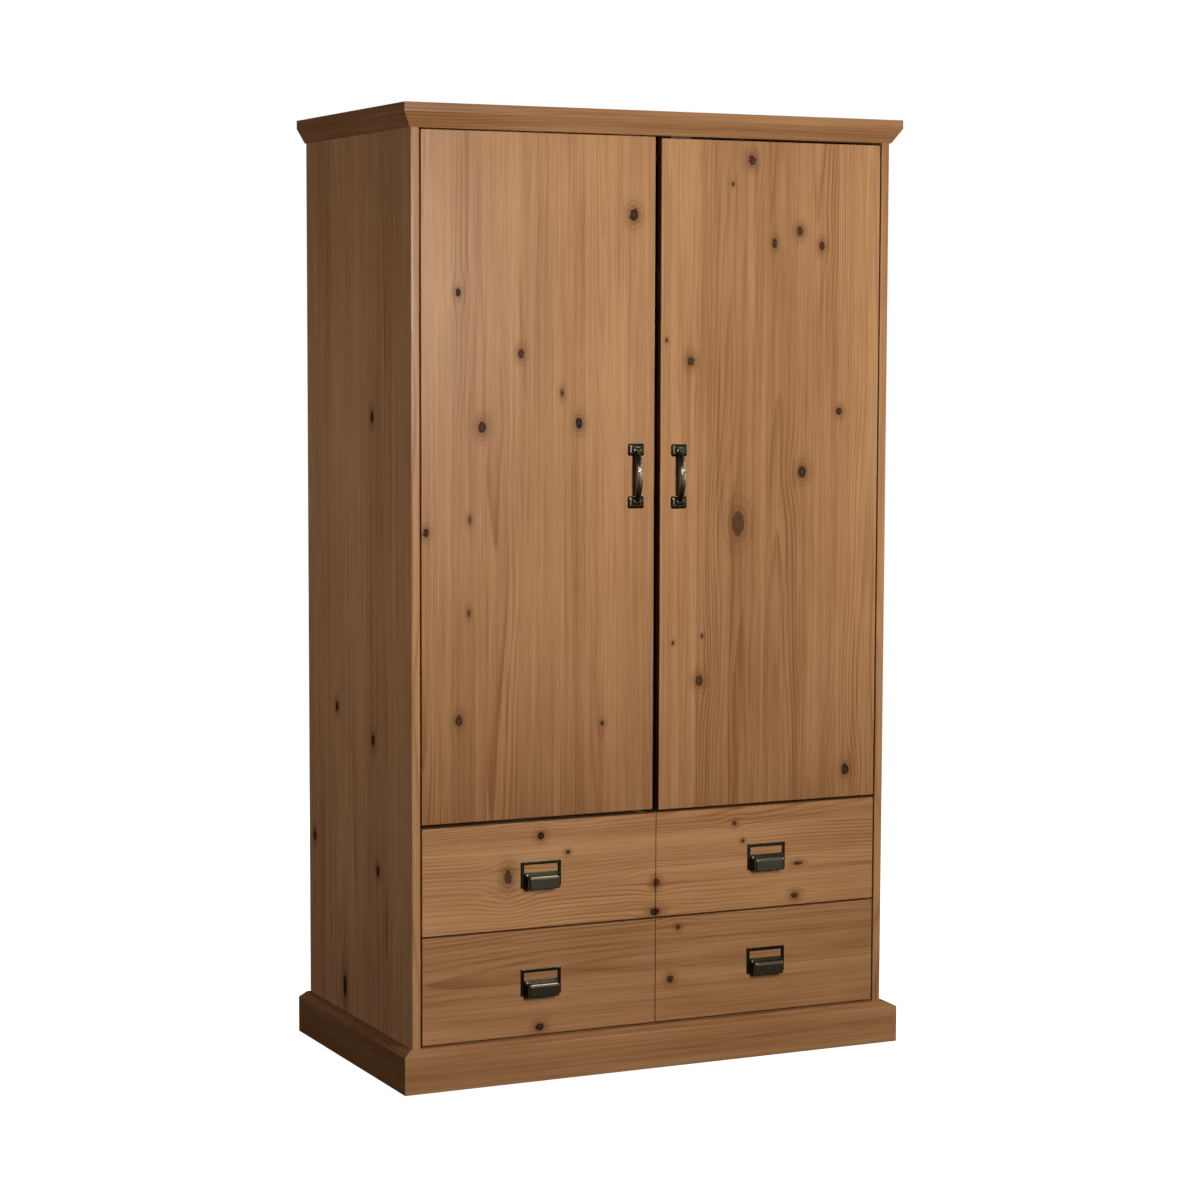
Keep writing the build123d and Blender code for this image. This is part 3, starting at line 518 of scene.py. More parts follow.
def make_piece(name, points, polygons, body, nodes, finish, sharp=35, marks=()):
    """Puts points and polygon arrays into a mesh, writes its attributes, and joins the piece to the frame.
    marks are (attribute name, function of corner points and face middles that gives three numbers each)."""
    mesh = bpy.data.meshes.new(name)
    corners = np.concatenate([p.ravel() for p in polygons]).astype(np.int32)
    sizes = np.concatenate([np.full(len(p), p.shape[1]) for p in polygons])
    starts = np.concatenate([[0], np.cumsum(sizes)[:-1]]).astype(np.int32)
    mesh.vertices.add(len(points))
    mesh.vertices.foreach_set("co", points.astype(np.float32).ravel())
    mesh.loops.add(len(corners))
    mesh.loops.foreach_set("vertex_index", corners)
    mesh.polygons.add(len(sizes))
    mesh.polygons.foreach_set("loop_start", starts)
    mesh.update(calc_edges=True)
    mesh.polygons.foreach_set("use_smooth", np.ones(len(sizes), bool))
    mesh.set_sharp_from_angle(angle=math.radians(sharp))
    places = points[corners]
    middles = np.repeat(np.add.reduceat(places, starts, axis=0) / sizes[:, None], sizes, axis=0)
    for attribute, mark in marks:
        layer = mesh.attributes.new(attribute, "FLOAT_VECTOR", "CORNER")
        layer.data.foreach_set("vector", mark(places, middles).astype(np.float32).ravel())
    piece = bpy.data.objects.new(name, mesh)
    bpy.context.scene.collection.objects.link(piece)
    mesh.materials.append(finish_called(finish))
    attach(piece, body)
    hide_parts(*nodes)
    return piece


# ---------------------------------------------------------------- grain
def grain_marks(seed, low, high, along, across, knots=(), stave_width=0.082, heart=(0.015, 0.07),
                tone=(0, 0)):
    """The grain of a board glued from staves, as the grain and knot marks of make_piece.

    Each stave is cut from its own log. Its rings are cones about a pith that runs down the board, at a
    depth behind the face that changes along it, so ring number = sqrt((w - pith)^2 + (t + depth)^2) over
    the spacing, where the pith wanders as a sum of two sines. A knot pulls the rings round it: near it, w is
    measured from a point closer to the knot's middle, by a bell curve of the distance. The tone, darker below
    zero and lighter above, runs from tone[0] at the board's low end to tone[1] at its high end, by the square
    root of the way there.
    """
    rng = np.random.default_rng(seed)
    most_staves, narrowest, far_away = 24, 0.02, 9.0
    through = X + Y + Z - along - across
    width, length = high[across] - low[across], high[along] - low[along]
    cuts = np.cumsum(rng.uniform(0.72, 1.28, most_staves)) * stave_width - rng.uniform(0, 0.6) * stave_width
    edges = low[across] + cuts[(cuts > narrowest) & (cuts < width - narrowest)]
    count = len(edges) + 1
    centre = np.concatenate([[low[across]], edges]) + stave_width / 2
    pith = centre + rng.uniform(-0.6, 0.6, count) * stave_width
    depth = rng.uniform(*heart, count)
    lean = rng.uniform(-0.032, 0.032, count)
    spacing = rng.uniform(0.0042, 0.0075, count)
    wander = rng.uniform(0.002, 0.007, count)
    turn = rng.uniform(0, 2 * np.pi, (2, count))
    tint = rng.uniform(-0.5, 0.5, count)
    knot_table = np.array(knots, float).reshape(-1, 5) * [MM, MM, MM, MM, 1.0]
    first, second = (1, 0) if along == X else (0, 1)
    knot_w, knot_l = knot_table[:, first], knot_table[:, second]
    half_w, half_l = knot_table[:, first + 2], knot_table[:, second + 2]

    def grain(places, middles):
        w, l, t = places[:, across], places[:, along], places[:, through]
        stave = np.searchsorted(edges, middles[:, across])
        pulled = w.copy()
        for kw, kl, hw, hl in zip(knot_w, knot_l, half_w, half_l):
            bell = np.exp(-((w - kw) / (3.2 * hw + 0.004)) ** 2 - ((l - kl) / (4.5 * hl + 0.008)) ** 2)
            pulled -= 0.82 * (w - kw) * bell
        s = l - low[along]
        long_wave, short_wave = 1.25, 0.41
        pith_here = pith[stave] + wander[stave] * (
            np.sin(2 * np.pi * s / long_wave + turn[0, stave])
            + 0.35 * np.sin(2 * np.pi * s / short_wave + turn[1, stave]))
        behind = t - low[through] + depth[stave] + lean[stave] * (s - length / 2)
        rings = np.hypot(pulled - pith_here, behind) / spacing[stave] + stave * 3.3
        shade = tint[stave] + tone[0] + (tone[1] - tone[0]) * np.sqrt(np.clip(s / length, 0, 1))
        return np.stack([rings, stave * 1.7 + seed % 9, shade], 1)

    def knot(places, middles):
        if not len(knot_table):
            return np.full((len(places), 3), far_away)
        to_w = (middles[:, across, None] - knot_w) / half_w
        to_l = (middles[:, along, None] - knot_l) / half_l
        near = np.hypot(to_w, to_l).argmin(1)
        return np.stack([(places[:, across] - knot_w[near]) / half_w[near],
                         (places[:, along] - knot_l[near]) / half_l[near], knot_table[near, 4]], 1)

    return [("grain", grain), ("knot", knot)]


def corners_of(node):
    """The low and high corner of a node's box, as arrays."""
    low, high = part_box(node)
    return np.array(low, float), np.array(high, float)


class ArmoireOperator:
    """What the operators share."""
    bl_options = {"REGISTER", "UNDO"}

    @staticmethod
    def sizes():
        return bpy.context.scene.armoire_wood


# ---------------------------------------------------------------- boards
def bore_patch(xs, zs, centre, half, radius, back_y, floor_y):
    """A round bore in the square patch of a board's back face between grid lines. Rings of points run from
    the patch's edge to the bore's rim, down its wall and in over its floor, on lines to the bore's centre."""
    eased = 0.4 * MM
    side_x = xs[(xs > centre[0] - half - 1e-6) & (xs < centre[0] + half + 1e-6)]
    side_z = zs[(zs > centre[1] - half - 1e-6) & (zs < centre[1] + half + 1e-6)]
    edge = np.concatenate([
        np.stack([side_x[:-1], np.full(len(side_x) - 1, side_z[0])], 1),
        np.stack([np.full(len(side_z) - 1, side_x[-1]), side_z[:-1]], 1),
        np.stack([side_x[:0:-1], np.full(len(side_x) - 1, side_z[-1])], 1),
        np.stack([np.full(len(side_z) - 1, side_x[0]), side_z[:0:-1]], 1)])
    reach = np.linalg.norm(edge - centre, axis=1, keepdims=True)
    way = (edge - centre) / reach
    wall = centre + way * radius
    rings = [(edge, back_y), (centre + way * (radius + eased), back_y), (wall, back_y - eased),
             (wall, floor_y), (centre + way * radius * 0.5, floor_y)]
    points = np.stack([np.stack([ring[:, 0], np.full(len(ring), y), ring[:, 1]], 1) for ring, y in rings])
    count, size, _ = points.shape
    index = np.arange(count * size).reshape(count, size)
    after = np.roll(index, -1, axis=1)
    quads = np.stack([index[1:], after[1:], after[:-1], index[:-1]], 2).reshape(-1, 4)
    middle = np.full(size, count * size)
    fan = np.stack([middle, after[-1], index[-1]], 1)
    return np.concatenate([points.reshape(-1, 3), [[centre[0], floor_y, centre[1]]]]), [quads, fan]


class ARMOIRE_OT_door_panels(ArmoireOperator, bpy.types.Operator):
    """Two doors of upright staves, with the hinge cups' bores in their backs"""
    bl_idname = "armoire.door_panels"
    bl_label = "Door panels"

    def execute(self, context):
        wood = self.sizes()
        half, radius, depth, ear = 21 * MM, 17.5 * MM, 11.5 * MM, 29 * MM
        doors = (("left", 412, LEFT_DOOR_KNOTS, (-1.9, 0.45)), ("right", 97, RIGHT_DOOR_KNOTS, (-1.9, -0.1)))
        for side, seed, knots, tone in doors:
            node = side + "_door_panel"
            low, high = corners_of(node)
            cups_low, cups_high = corners_of(side + "_door_hinge_cups")
            centre_x = (cups_low[X] + cups_high[X]) / 2
            heights = np.linspace(cups_low[Z] + ear, cups_high[Z] - ear, 3)
            kept_x = (centre_x - half, centre_x + half)
            kept_z = np.concatenate([heights - half, heights + half])
            points, quads = box_skin(low, high, wood.rim, wood.step, (kept_x, (), kept_z))
            middles = points[quads].mean(1)
            at_back = middles[:, Y] > high[Y] - 1e-6
            in_patch = np.zeros(len(quads), bool)
            for z in heights:
                in_patch |= at_back & (abs(middles[:, X] - centre_x) < half) & (abs(middles[:, Z] - z) < half)
            xs = grid_lines(low[X], high[X], wood.rim, wood.rim, wood.step, kept_x)
            zs = grid_lines(low[Z], high[Z], wood.rim, wood.rim, wood.step, kept_z)
            bores = [bore_patch(xs, zs, np.array([centre_x, z]), half, radius, high[Y], high[Y] - depth)
                     for z in heights]
            points, polygons = joined((points, [quads[~in_patch]]), *bores)
            points, *polygons = weld(points, *polygons)
            marks = grain_marks(seed, low, high, Z, X, knots, tone=tone)
            make_piece(side + "_door_face", points, polygons, side + "_door", [node],
                       "stained_pine_upright", marks=marks)
        return {"FINISHED"}


class ARMOIRE_OT_side_panels(ArmoireOperator, bpy.types.Operator):
    """Two sides of upright staves, with the rebate for the back panels"""
    bl_idname = "armoire.side_panels"
    bl_label = "Side panels"

    def execute(self, context):
        wood = self.sizes()
        rebate_width = 9 * MM
        for side, seed, knots in (("left", 31, LEFT_SIDE_KNOTS), ("right", 32, RIGHT_SIDE_KNOTS)):
            node = "side_panel_" + side
            low, high = corners_of(node)
            rebate_y = corners_of("back_panel_" + side)[0][Y]
            hand = 1 if side == "left" else -1
            outer, inner = (low[X], high[X]) if side == "left" else (high[X], low[X])
            ledge = inner - hand * rebate_width
            corners = [(outer, low[Y]), (inner, low[Y]), (inner, rebate_y),
                       (ledge, rebate_y), (ledge, high[Y]), (outer, high[Y])]
            outline = turned_outline(corners, [wood.rim, wood.rim, 0, 0, wood.rim / 2, wood.rim], wood.step)
            heights = grid_lines(low[Z], high[Z], 0, 0, wood.step)
            sections = np.empty((len(heights), len(outline), 3))
            sections[..., :2] = outline[None]
            sections[..., Z] = heights[:, None]
            points, polygons = skin_over(sections)
            marks = grain_marks(seed, low, high, Z, Y, knots, 0.095)
            make_piece("side_board_" + side, points, polygons, "carcass", [node],
                       "stained_pine_upright", marks=marks)
        return {"FINISHED"}


class ARMOIRE_OT_drawer_fronts(ArmoireOperator, bpy.types.Operator):
    """Two full-width drawer fronts of level staves, each with an upright groove at its middle"""
    bl_idname = "armoire.drawer_fronts"
    bl_label = "Drawer fronts"

    def execute(self, context):
        wood = self.sizes()
        half_groove, groove_depth, lip = 2.0 * MM, 3.0 * MM, 0.35 * MM
        stops = np.array([half_groove + lip, half_groove, half_groove - 0.5 * lip, half_groove - 1.5 * lip])
        shares = np.array([0.0, 0.10, 0.45, 1.0])
        drawers = (("upper", 73, UPPER_DRAWER_KNOTS, 0.2), ("lower", 74, LOWER_DRAWER_KNOTS, -0.8))
        for level, seed, knots, tone in drawers:
            node = level + "_drawer_front"
            low, high = corners_of(node)
            kept = (np.concatenate([-stops, stops]), (), ())
            points, quads = box_skin(low, high, wood.rim, wood.step, kept)
            cut = groove_depth * np.interp(-abs(points[:, X]), -stops, shares)
            points[:, Y] += cut * (high[Y] - points[:, Y]) / (high[Y] - low[Y])
            marks = grain_marks(seed, low, high, X, Z, knots, 0.12, tone=(tone + 0.1, tone - 0.7))
            make_piece(level + "_drawer_face", points, [quads], level + "_drawer", [node],
                       "stained_pine_level", marks=marks)
        return {"FINISHED"}


def mitred_moulding(outline, body_half, front_y, part, step, back_y):
    """A moulding carried along the body's front or side. outline is (out from the body, up), and each of its
    points runs as far past the body's corner as it stands out, which cuts the mitre."""
    out, up = outline[:, 0], outline[:, 1]
    if part == "front":
        share = np.linspace(0, 1, int(2 * body_half / step) + 1)[:, None]
        along = -(body_half + out) + share * 2 * (body_half + out)
        x, y = along, np.broadcast_to(front_y - out, along.shape)
    else:
        hand = -1 if part == "left" else 1
        share = np.linspace(0, 1, int((back_y - front_y) / step) + 1)[:, None]
        along = (front_y - out) + share * (back_y - front_y + out)
        x, y = np.broadcast_to(hand * (body_half + out), along.shape), along
    return skin_over(np.stack([x, y, np.broadcast_to(up, along.shape)], 2))


class ARMOIRE_OT_mouldings(ArmoireOperator, bpy.types.Operator):
    """Cornice and plinth: mitred profiles round the front and both sides"""
    bl_idname = "armoire.mouldings"
    bl_label = "Cornice and plinth"

    def execute(self, context):
        wood = self.sizes()
        body_low = corners_of("side_panel_left")[0]
        body_half, front_y = -body_low[X], body_low[Y]
        for kind, seed in (("cornice", 51), ("plinth", 61)):
            for part in ("front", "left", "right"):
                node = kind + "_" + part
                low, high = corners_of(node)
                reach = front_y - corners_of(kind + "_front")[0][Y]
                if kind == "cornice":
                    foot, fascia = 3 * MM, 18 * MM
                    corners = [(0, low[Z]), (foot, low[Z]), (reach, high[Z] - fascia),
                               (reach, high[Z]), (0, high[Z])]
                    radii = [0, 0.5 * MM, 0.8 * MM, wood.rim, 0]
                else:
                    ledge, chamfer = 8 * MM, 10 * MM
                    corners = [(0, low[Z]), (reach, low[Z]), (reach, high[Z] - chamfer),
                               (ledge, high[Z]), (0, high[Z])]
                    radii = [0, 0.8 * MM, 1.5 * MM, 1.2 * MM, 0]
                outline = turned_outline(corners, radii, 4 * MM)
                points, polygons = mitred_moulding(outline, body_half, front_y, part, 8 * MM, high[Y])
                along = X if part == "front" else Y
                # The cornice and plinth are darker overall; their left parts are darker still, painted shade
                # on the side turned away from the light.
                tone = {"cornice": -1.1, "plinth": -1.4}[kind] - (0.9 if part == "left" else 0)
                marks = grain_marks(seed + len(part), low, high, along, Z, stave_width=0.3,
                                    heart=(0.02, 0.05), tone=(tone, tone))
                finish = "stained_pine_level" if part == "front" else "stained_pine_deep"
                make_piece(kind + "_moulding_" + part, points, polygons, "carcass", [node],
                           finish, marks=marks)
        return {"FINISHED"}


# ---------------------------------------------------------------- fittings
def rounded_rectangle(half_width, half_height, radius, count=12):
    """The outline of a rounded rectangle: quarter circles of radius about four centres, as (count * 4, 2)."""
    number, quarter = np.arange(4 * count), np.pi / 2
    angle = number // count * quarter + (number % count) / (count - 1) * quarter
    middle = angle.reshape(4, -1).mean(1)
    sign_x, sign_y = np.sign(np.cos(middle)), np.sign(np.sin(middle))
    x = np.repeat(sign_x, count) * (half_width - radius) + radius * np.cos(angle)
    y = np.repeat(sign_y, count) * (half_height - radius) + radius * np.sin(angle)
    return np.stack([x, y], 1)


def pad(x, z, plane_y, half_width, half_height, height, rise):
    """A cast pad: rounded rectangles stacked up from the plane, each drawn in by its inset. rise lists
    (inset, share of the height). The corners' radius shrinks by 0.35 of the inset, to a least radius."""
    corner, least = 5 * MM, 0.6 * MM
    rings = []
    for inset, share in rise:
        ring = rounded_rectangle(half_width - inset, half_height - inset, max(corner - 0.35 * inset, least))
        out = np.full(len(ring), plane_y - share * height)
        rings.append(np.stack([x + ring[:, 0], out, z + ring[:, 1]], 1))
    return skin_over(np.stack(rings))


def bow(x, z, plane_y, half_span, reach, width, thickness):
    """The handle's bow. Its middle line is out = reach * (1 - |s|^2.6), up = half_span * s, for s from -1
    to 1. Its section is a flattened ring with a crest and a hollow either side of it: the outer side's
    height is lowered by two bell curves. It widens towards the pads as |s|^6 and thickens as |s|^4."""
    fullness = 2.6
    s = np.sin(np.linspace(-np.pi / 2, np.pi / 2, 73))
    out, up = reach * (1 - abs(s) ** fullness), half_span * s
    slope_out = -fullness * reach * np.sign(s) * abs(s) ** (fullness - 1)
    slope_up = np.full(len(s), half_span)
    length = np.hypot(slope_out, slope_up)
    face_out, face_up = slope_up / length, -slope_out / length
    angle = np.linspace(0, 2 * np.pi, 48, endpoint=False)
    across = 0.5 * np.sign(np.cos(angle)) * abs(np.cos(angle)) ** 0.95
    lift = 0.5 * np.sign(np.sin(angle)) * abs(np.sin(angle)) ** 0.95
    hollow = np.exp(-((abs(across) - 0.27) / 0.075) ** 2) * (np.sin(angle) > 0)
    lift = lift - 0.09 * hollow
    spread = width * (1 + 0.35 * abs(s) ** 6)
    rise = lift[None] * (thickness * (1 + 0.25 * abs(s) ** 4))[:, None]
    places = [x + across[None] * spread[:, None],
              plane_y - (out[:, None] + face_out[:, None] * rise),
              z + up[:, None] + face_up[:, None] * rise]
    return skin_over(np.stack(places, 2))


def wear_and_highlight_mark(strong_out, plane_y, soft):
    """A mark of pale metal on the proud parts, partly real rubbing and partly a painted highlight:
    (distance out from the plane / strong_out) ^ soft, from 0 to 1.
    """
    def wear_and_highlight(places, middles):
        share = np.clip((plane_y - places[:, Y]) / strong_out, 0, 1) ** soft
        return np.stack([share, share, share], 1)
    return [("wear_and_highlight", wear_and_highlight)]


class ARMOIRE_OT_door_handles(ArmoireOperator, bpy.types.Operator):
    """Bow handles of dark bronze, each on two cast pads"""
    bl_idname = "armoire.door_handles"
    bl_label = "Door handles"

    def execute(self, context):
        fittings = context.scene.armoire_fittings
        pad_height, pad_half_width, pad_half_height = 4.5 * MM, 18 * MM, 13 * MM
        rise = [(0, 0), (0, 0.45), (0.5 * MM, 0.66), (1.4 * MM, 0.8), (2.6 * MM, 0.84), (3.3 * MM, 0.92),
                (4.4 * MM, 1.0), (7.5 * MM, 1.03), (11 * MM, 1.04)]
        root_rise = [(0, 0), (0, 0.5), (0.8 * MM, 0.78), (2.2 * MM, 0.94), (4.5 * MM, 1.0)]
        for side in ("left", "right"):
            node = side + "_door_handle"
            low, high = corners_of(node)
            plane_y, reach = high[Y], high[Y] - low[Y]
            x, z = (low[X] + high[X]) / 2, (low[Z] + high[Z]) / 2
            half_spacing = (high[Z] - low[Z]) / 2 - pad_half_height
            shells = [
                pad(x, z + end * half_spacing, plane_y, pad_half_width, pad_half_height, pad_height, rise)
                for end in (-1, 1)]
            shells += [
                pad(x, z + end * (half_spacing - 2 * MM), plane_y, 10.5 * MM, 8 * MM, 8 * MM, root_rise)
                for end in (-1, 1)]
            shells.append(bow(x, z, plane_y, half_spacing + 1 * MM, reach - fittings.bar_thickness / 2,
                              fittings.bar_width, fittings.bar_thickness))
            points, polygons = joined(*shells)
            make_piece(side + "_bow_handle", points, polygons, side + "_door", [node],
                       "dark_bronze", marks=wear_and_highlight_mark(reach, plane_y, 1.6))
        return {"FINISHED"}


def bar_section(width, height, bevel):
    """A flat bar's section as (across, up): a rectangle with its two upper edges bevelled and eased."""
    half, eased, step = width / 2, 0.3 * MM, 2 * MM
    corners = [(-half, 0), (half, 0), (half, height - bevel),
               (half - bevel, height), (-half + bevel, height), (-half, height - bevel)]
    return turned_outline(corners, [0, 0, eased, eased, eased, eased], step)


def flat_bar(path, section, plane_y):
    """A bar carried along a path of (x, z) points, with mitred corners: at a corner the section is drawn out
    along the sum of the two runs' normals over one plus their dot product."""
    path = np.array(path, float)
    runs = np.diff(path, axis=0)
    runs /= np.linalg.norm(runs, axis=1, keepdims=True)
    normals = np.stack([-runs[:, 1], runs[:, 0]], 1)
    first, second = np.concatenate([normals[:1], normals]), np.concatenate([normals, normals[-1:]])
    mitre = (first + second) / (1 + (first * second).sum(1, keepdims=True))
    across, up = section[:, 0], section[:, 1]
    flat = path[:, None] + across[None, :, None] * mitre[:, None]
    return skin_over(np.stack([flat[..., 0], np.broadcast_to(plane_y - up, flat.shape[:2]), flat[..., 1]], 2))


def cup_hood(x, plane_y, mouth_z, top_z, half_width, reach):
    """The cup's skin, open below and behind. It is a box skin with broad turned edges, and past the flange
    its width and top draw in by a smooth step: share = 3k^2 - 2k^3 of the depth k between the flange and the
    hood. Its top then leans down by the square of the way out."""
    low, high = (x - half_width, plane_y - reach, mouth_z), (x + half_width, plane_y, top_z)
    flange, step_in, drop = 7.5 * MM, 3.6 * MM, 4.6 * MM
    stops = plane_y - flange - np.array([-1, -0.5, 0, 0.5, 1]) * MM
    turned, open_sides = (1, 1, 0, 1, 0, 1), ((Z, 0), (Y, 1))
    points, quads = box_skin(low, high, 5.5 * MM, 1.5 * MM, ((), stops, ()), turned, open_sides)
    k = np.clip((plane_y - points[:, Y] - flange + 1 * MM) / (2 * MM), 0, 1)
    share = 3 * k ** 2 - 2 * k ** 3
    points[:, X] = x + (points[:, X] - x) * (1 - share * step_in / half_width)
    height = (points[:, Z] - mouth_z) / (top_z - mouth_z)
    points[:, Z] -= share * drop * height
    lean = np.clip((plane_y - points[:, Y]) / reach, 0, 1)
    points[:, Z] -= 1.2 * MM * lean ** 2 * (height > 0.5) * height
    return points, quads


class ARMOIRE_OT_cup_pulls(ArmoireOperator, bpy.types.Operator):
    """Label-frame pulls with a hooded cup, two to a drawer"""
    bl_idname = "armoire.cup_pulls"
    bl_label = "Drawer pulls"

    def execute(self, context):
        fittings = context.scene.armoire_fittings
        width, bar, plate, window = 90 * MM, 7 * MM, 3 * MM, 16 * MM
        for level in ("upper", "lower"):
            node = level + "_drawer_pulls"
            low, high = corners_of(node)
            plane_y, top_z, reach = high[Y], high[Z], high[Y] - low[Y]
            bottom_z = low[Z] + 1 * MM
            frames, cups = [], []
            for x in (low[X] + width / 2, high[X] - width / 2):
                left, right = x - width / 2 + bar / 2, x + width / 2 - bar / 2
                rail_z = top_z - bar / 2
                hoop = [(left, bottom_z), (left, rail_z), (right, rail_z), (right, bottom_z)]
                frames.append(flat_bar(hoop, bar_section(bar, plate, 1 * MM), plane_y))
                middle_z = top_z - bar - window - bar / 2
                middle = [(left, middle_z), (right, middle_z)]
                frames.append(flat_bar(middle, bar_section(bar, plate * 0.9, 0.8 * MM), plane_y))
                cup_top = top_z - bar - window - 1 * MM
                half_width = width / 2 - bar + 0.5 * MM
                points, quads = cup_hood(x, plane_y, low[Z], cup_top, half_width, reach)
                cups.append((points, [quads]))
            points, polygons = joined(*frames)
            make_piece(level + "_label_frames", points, polygons, level + "_drawer", [node],
                       "dark_bronze", marks=wear_and_highlight_mark(2.4 * plate, plane_y, 1.0))
            points, polygons = joined(*cups)
            piece = make_piece(level + "_pull_cups", points, polygons, level + "_drawer", [node],
                               "dark_bronze", sharp=60, marks=wear_and_highlight_mark(reach, plane_y, 1.4))
            wall = piece.modifiers.new("wall", "SOLIDIFY")
            wall.thickness = fittings.hood_wall
            wall.offset = -1
            wall.use_even_offset = True
        return {"FINISHED"}


# ---------------------------------------------------------------- what the model already has
NODE_FINISHES = {
    "top_board": "top_pine",
    "wardrobe_floor": "inner_pine_level", "hat_shelf": "inner_pine_level", "base_panel": "inner_pine_level",
    "base_rails": "inner_pine_rail", "drawer_rail": "inner_pine_level",
    "top_front_rail": "inner_pine_level", "top_back_rail": "inner_pine_rail",
    "back_panel_left": "back_plywood", "back_panel_right": "back_plywood", "back_joint_strip": "nylon",
    "hanging_rail": "chromed_rail", "rail_sockets": "chromed_rail",
    "hinge_plates": "plated_steel", "hinge_arms": "plated_steel", "door_catches": "nylon",
    "runner_tracks": "runner_enamel", "dowels": "beech", "carcass_screws": "plated_steel",
    "floor_glides": "nylon",
}
DOOR_FINISHES = {
    "battens": "inner_pine_rail", "hinge_cups": "plated_steel", "hinge_pins": "plated_steel",
    "strike_plate": "plated_steel", "screws": "plated_steel",
}
DRAWER_FINISHES = {
    "sides": "inner_pine_deep", "back": "inner_pine_rail", "bottom": "back_plywood",
    "runner_profiles": "runner_enamel", "screws": "plated_steel",
    "front_rollers": "pale_nylon", "rear_rollers": "pale_nylon",
}


class ARMOIRE_OT_inner_finishes(ArmoireOperator, bpy.types.Operator):
    """Finishes of the parts whose shape the model already has"""
    bl_idname = "armoire.inner_finishes"
    bl_label = "Finishes inside"

    def execute(self, context):
        finishes = dict(NODE_FINISHES)
        for side in ("left", "right"):
            finishes.update({side + "_door_" + part: finish for part, finish in DOOR_FINISHES.items()})
        for level in ("upper", "lower"):
            finishes.update({level + "_drawer_" + part: finish for part, finish in DRAWER_FINISHES.items()})
        for node, finish in finishes.items():
            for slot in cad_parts[node].material_slots:
                slot.link = "OBJECT"
                slot.material = finish_called(finish)
        return {"FINISHED"}


# ---------------------------------------------------------------- studio
def area_light(name, lights, place, target, size, power, colour=(1, 1, 1)):
    """An area light that faces a point. It lights the surfaces ("matt") or is only mirrored ("shine")."""
    light = bpy.data.lights.new(name, "AREA")
    light.shape = "RECTANGLE"
    light.size, light.size_y = size
    light.energy = power
    light.color = colour
    holder = bpy.data.objects.new(name, light)
    bpy.context.scene.collection.objects.link(holder)
    holder.visible_camera = False
    holder.visible_glossy = lights == "shine"
    holder.visible_diffuse = lights == "matt"
    direction = np.array(target, float) - np.array(place, float)
    yaw = math.atan2(direction[1], direction[0]) - math.pi / 2
    tilt = math.atan2(direction[2], math.hypot(direction[0], direction[1]))
    turn = Matrix.Rotation(yaw, 4, "Z") @ Matrix.Rotation(math.pi / 2 + tilt, 4, "X")
    holder.matrix_world = Matrix.Translation(place) @ turn


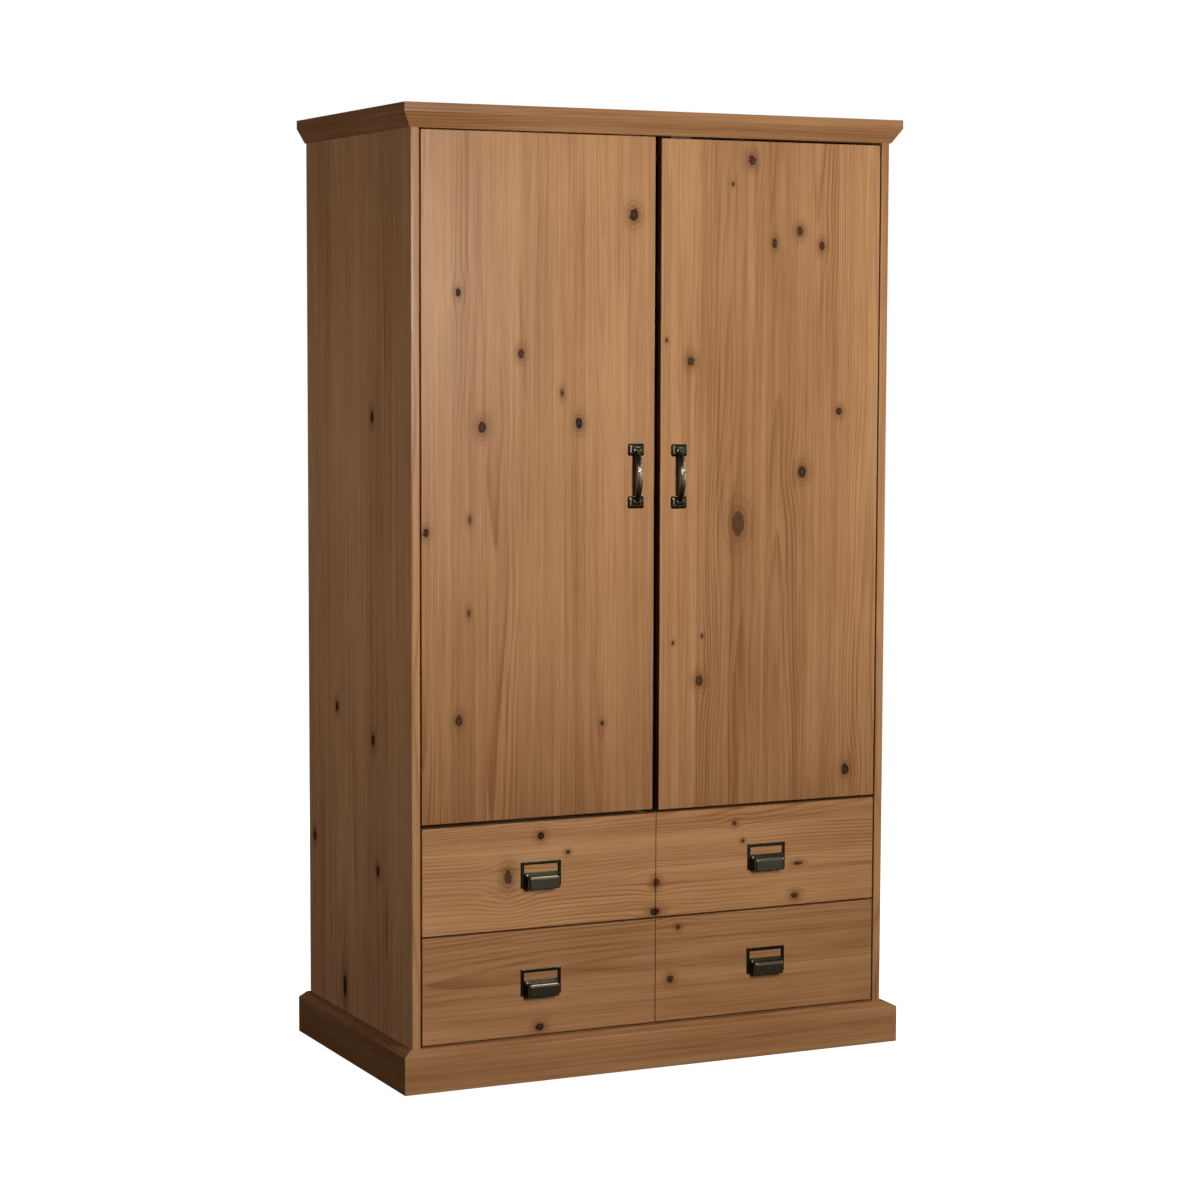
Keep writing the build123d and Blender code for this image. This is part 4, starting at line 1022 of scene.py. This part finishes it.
class ARMOIRE_OT_stage(ArmoireOperator, bpy.types.Operator):
    """Pale floor, white surround, soft lights and the camera"""
    bl_idname = "armoire.stage"
    bl_label = "Studio"

    def execute(self, context):
        scene, studio = context.scene, context.scene.armoire_studio
        scene.view_settings.view_transform = "Standard"
        world = bpy.data.worlds.new("white_surround")
        world.use_nodes = True
        world.node_tree.nodes["Background"].inputs["Color"].default_value = (1, 1, 1, 1)
        world.node_tree.nodes["Background"].inputs["Strength"].default_value = 1.0
        for ray in ("diffuse", "glossy", "transmission", "scatter"):
            setattr(world.cycles_visibility, ray, False)
        scene.world = world

        mesh = bpy.data.meshes.new("floor")
        reach = 60.0
        corners = [(-reach, -reach, 0), (reach, -reach, 0), (reach, reach, 0), (-reach, reach, 0)]
        mesh.from_pydata(corners, [], [(0, 1, 2, 3)])
        floor = bpy.data.objects.new("floor", mesh)
        scene.collection.objects.link(floor)
        finish = Finish("pale_floor")
        mesh.materials.append(finish.done({
            "Base Color": (0.8, 0.8, 0.8, 1), "Roughness": 0.9,
            "Emission Color": (1, 1, 1, 1), "Emission Strength": 1.0}))
        floor.visible_diffuse = False
        floor.visible_glossy = False

        key, fill, cool = studio.key, studio.back_fill, (0.97, 0.96, 1.06)
        area_light("key", "matt", (0.36, -3.3, 1.50), (-0.2, 0, 1.35), (0.7, 1.2), key)
        area_light("side_fill", "matt", (-2.4, 0.0, 1.25), (-0.5, 0, 1.1), (1.6, 1.4), studio.side_fill, cool)
        area_light("sheen", "shine", (0.27, -3.3, 1.66), (-0.4, 0, 1.6), (0.3, 0.7), 0.42 * key)
        area_light("glint", "shine", (3.1, -0.9, 1.7), (0, -0.35, 1.2), (0.4, 1.5), 0.34 * key)
        area_light("right_fill", "matt", (3.4, 0.4, 1.6), (0.5, 0, 1.0), (2.2, 2.2), fill)
        area_light("crown", "shine", (1.2, -0.55, 3.4), (-0.1, -0.33, 0.5), (0.7, 0.7), 0.20 * key)
        area_light("back_fill", "matt", (0.3, 3.4, 1.8), (0, 0.3, 1.0), (2.4, 2.0), fill)
        area_light("top_fill", "matt", (1.1, -0.3, 4.2), (0, 0, 2.0), (2.4, 2.0), fill)
        area_light("surround", "shine", (1.3, -3.8, 1.2), (0, 0, 1.0), (3.0, 2.6), 0.13 * key)

        lens = bpy.data.cameras.new("camera")
        lens.lens = studio.lens
        lens.sensor_width = 36.0
        camera = bpy.data.objects.new("camera", lens)
        scene.collection.objects.link(camera)
        place, level = (-2.7736, -5.8470, 1.5328), 90
        yaw, pitch, roll = math.radians(-25.43), math.radians(level - 5.08), math.radians(0.19)
        turn = Matrix.Rotation(yaw, 4, "Z") @ Matrix.Rotation(pitch, 4, "X") @ Matrix.Rotation(roll, 4, "Z")
        camera.matrix_world = Matrix.Translation(place) @ turn
        scene.camera = camera
        return {"FINISHED"}


# ---------------------------------------------------------------- add-on
OPERATORS = (
    ARMOIRE_OT_side_panels, ARMOIRE_OT_door_panels, ARMOIRE_OT_drawer_fronts, ARMOIRE_OT_mouldings,
    ARMOIRE_OT_door_handles, ARMOIRE_OT_cup_pulls, ARMOIRE_OT_inner_finishes, ARMOIRE_OT_stage,
)


class ARMOIRE_PT_pieces(bpy.types.Panel):
    """Lists what the armoire is made of"""
    bl_idname = "ARMOIRE_PT_pieces"
    bl_label = "Armoire"
    bl_space_type = "VIEW_3D"
    bl_region_type = "UI"
    bl_category = "Armoire"

    def draw(self, context):
        for operator in OPERATORS:
            self.layout.operator(operator.bl_idname)
        scene = context.scene
        for group in (scene.armoire_wood, scene.armoire_fittings, scene.armoire_studio):
            box = self.layout.box()
            for name in type(group).__annotations__:
                box.prop(group, name)


CLASSES = (ArmoireWood, ArmoireFittings, ArmoireStudio, *OPERATORS, ARMOIRE_PT_pieces)


def register():
    for each in CLASSES:
        bpy.utils.register_class(each)
    bpy.types.Scene.armoire_wood = PointerProperty(type=ArmoireWood)
    bpy.types.Scene.armoire_fittings = PointerProperty(type=ArmoireFittings)
    bpy.types.Scene.armoire_studio = PointerProperty(type=ArmoireStudio)


def unregister():
    del bpy.types.Scene.armoire_wood, bpy.types.Scene.armoire_fittings, bpy.types.Scene.armoire_studio
    for each in reversed(CLASSES):
        bpy.utils.unregister_class(each)


def main():
    register()
    for operator in OPERATORS:
        group, name = operator.bl_idname.split(".")
        getattr(getattr(bpy.ops, group), name)()


if __name__ == "__main__":
    main()
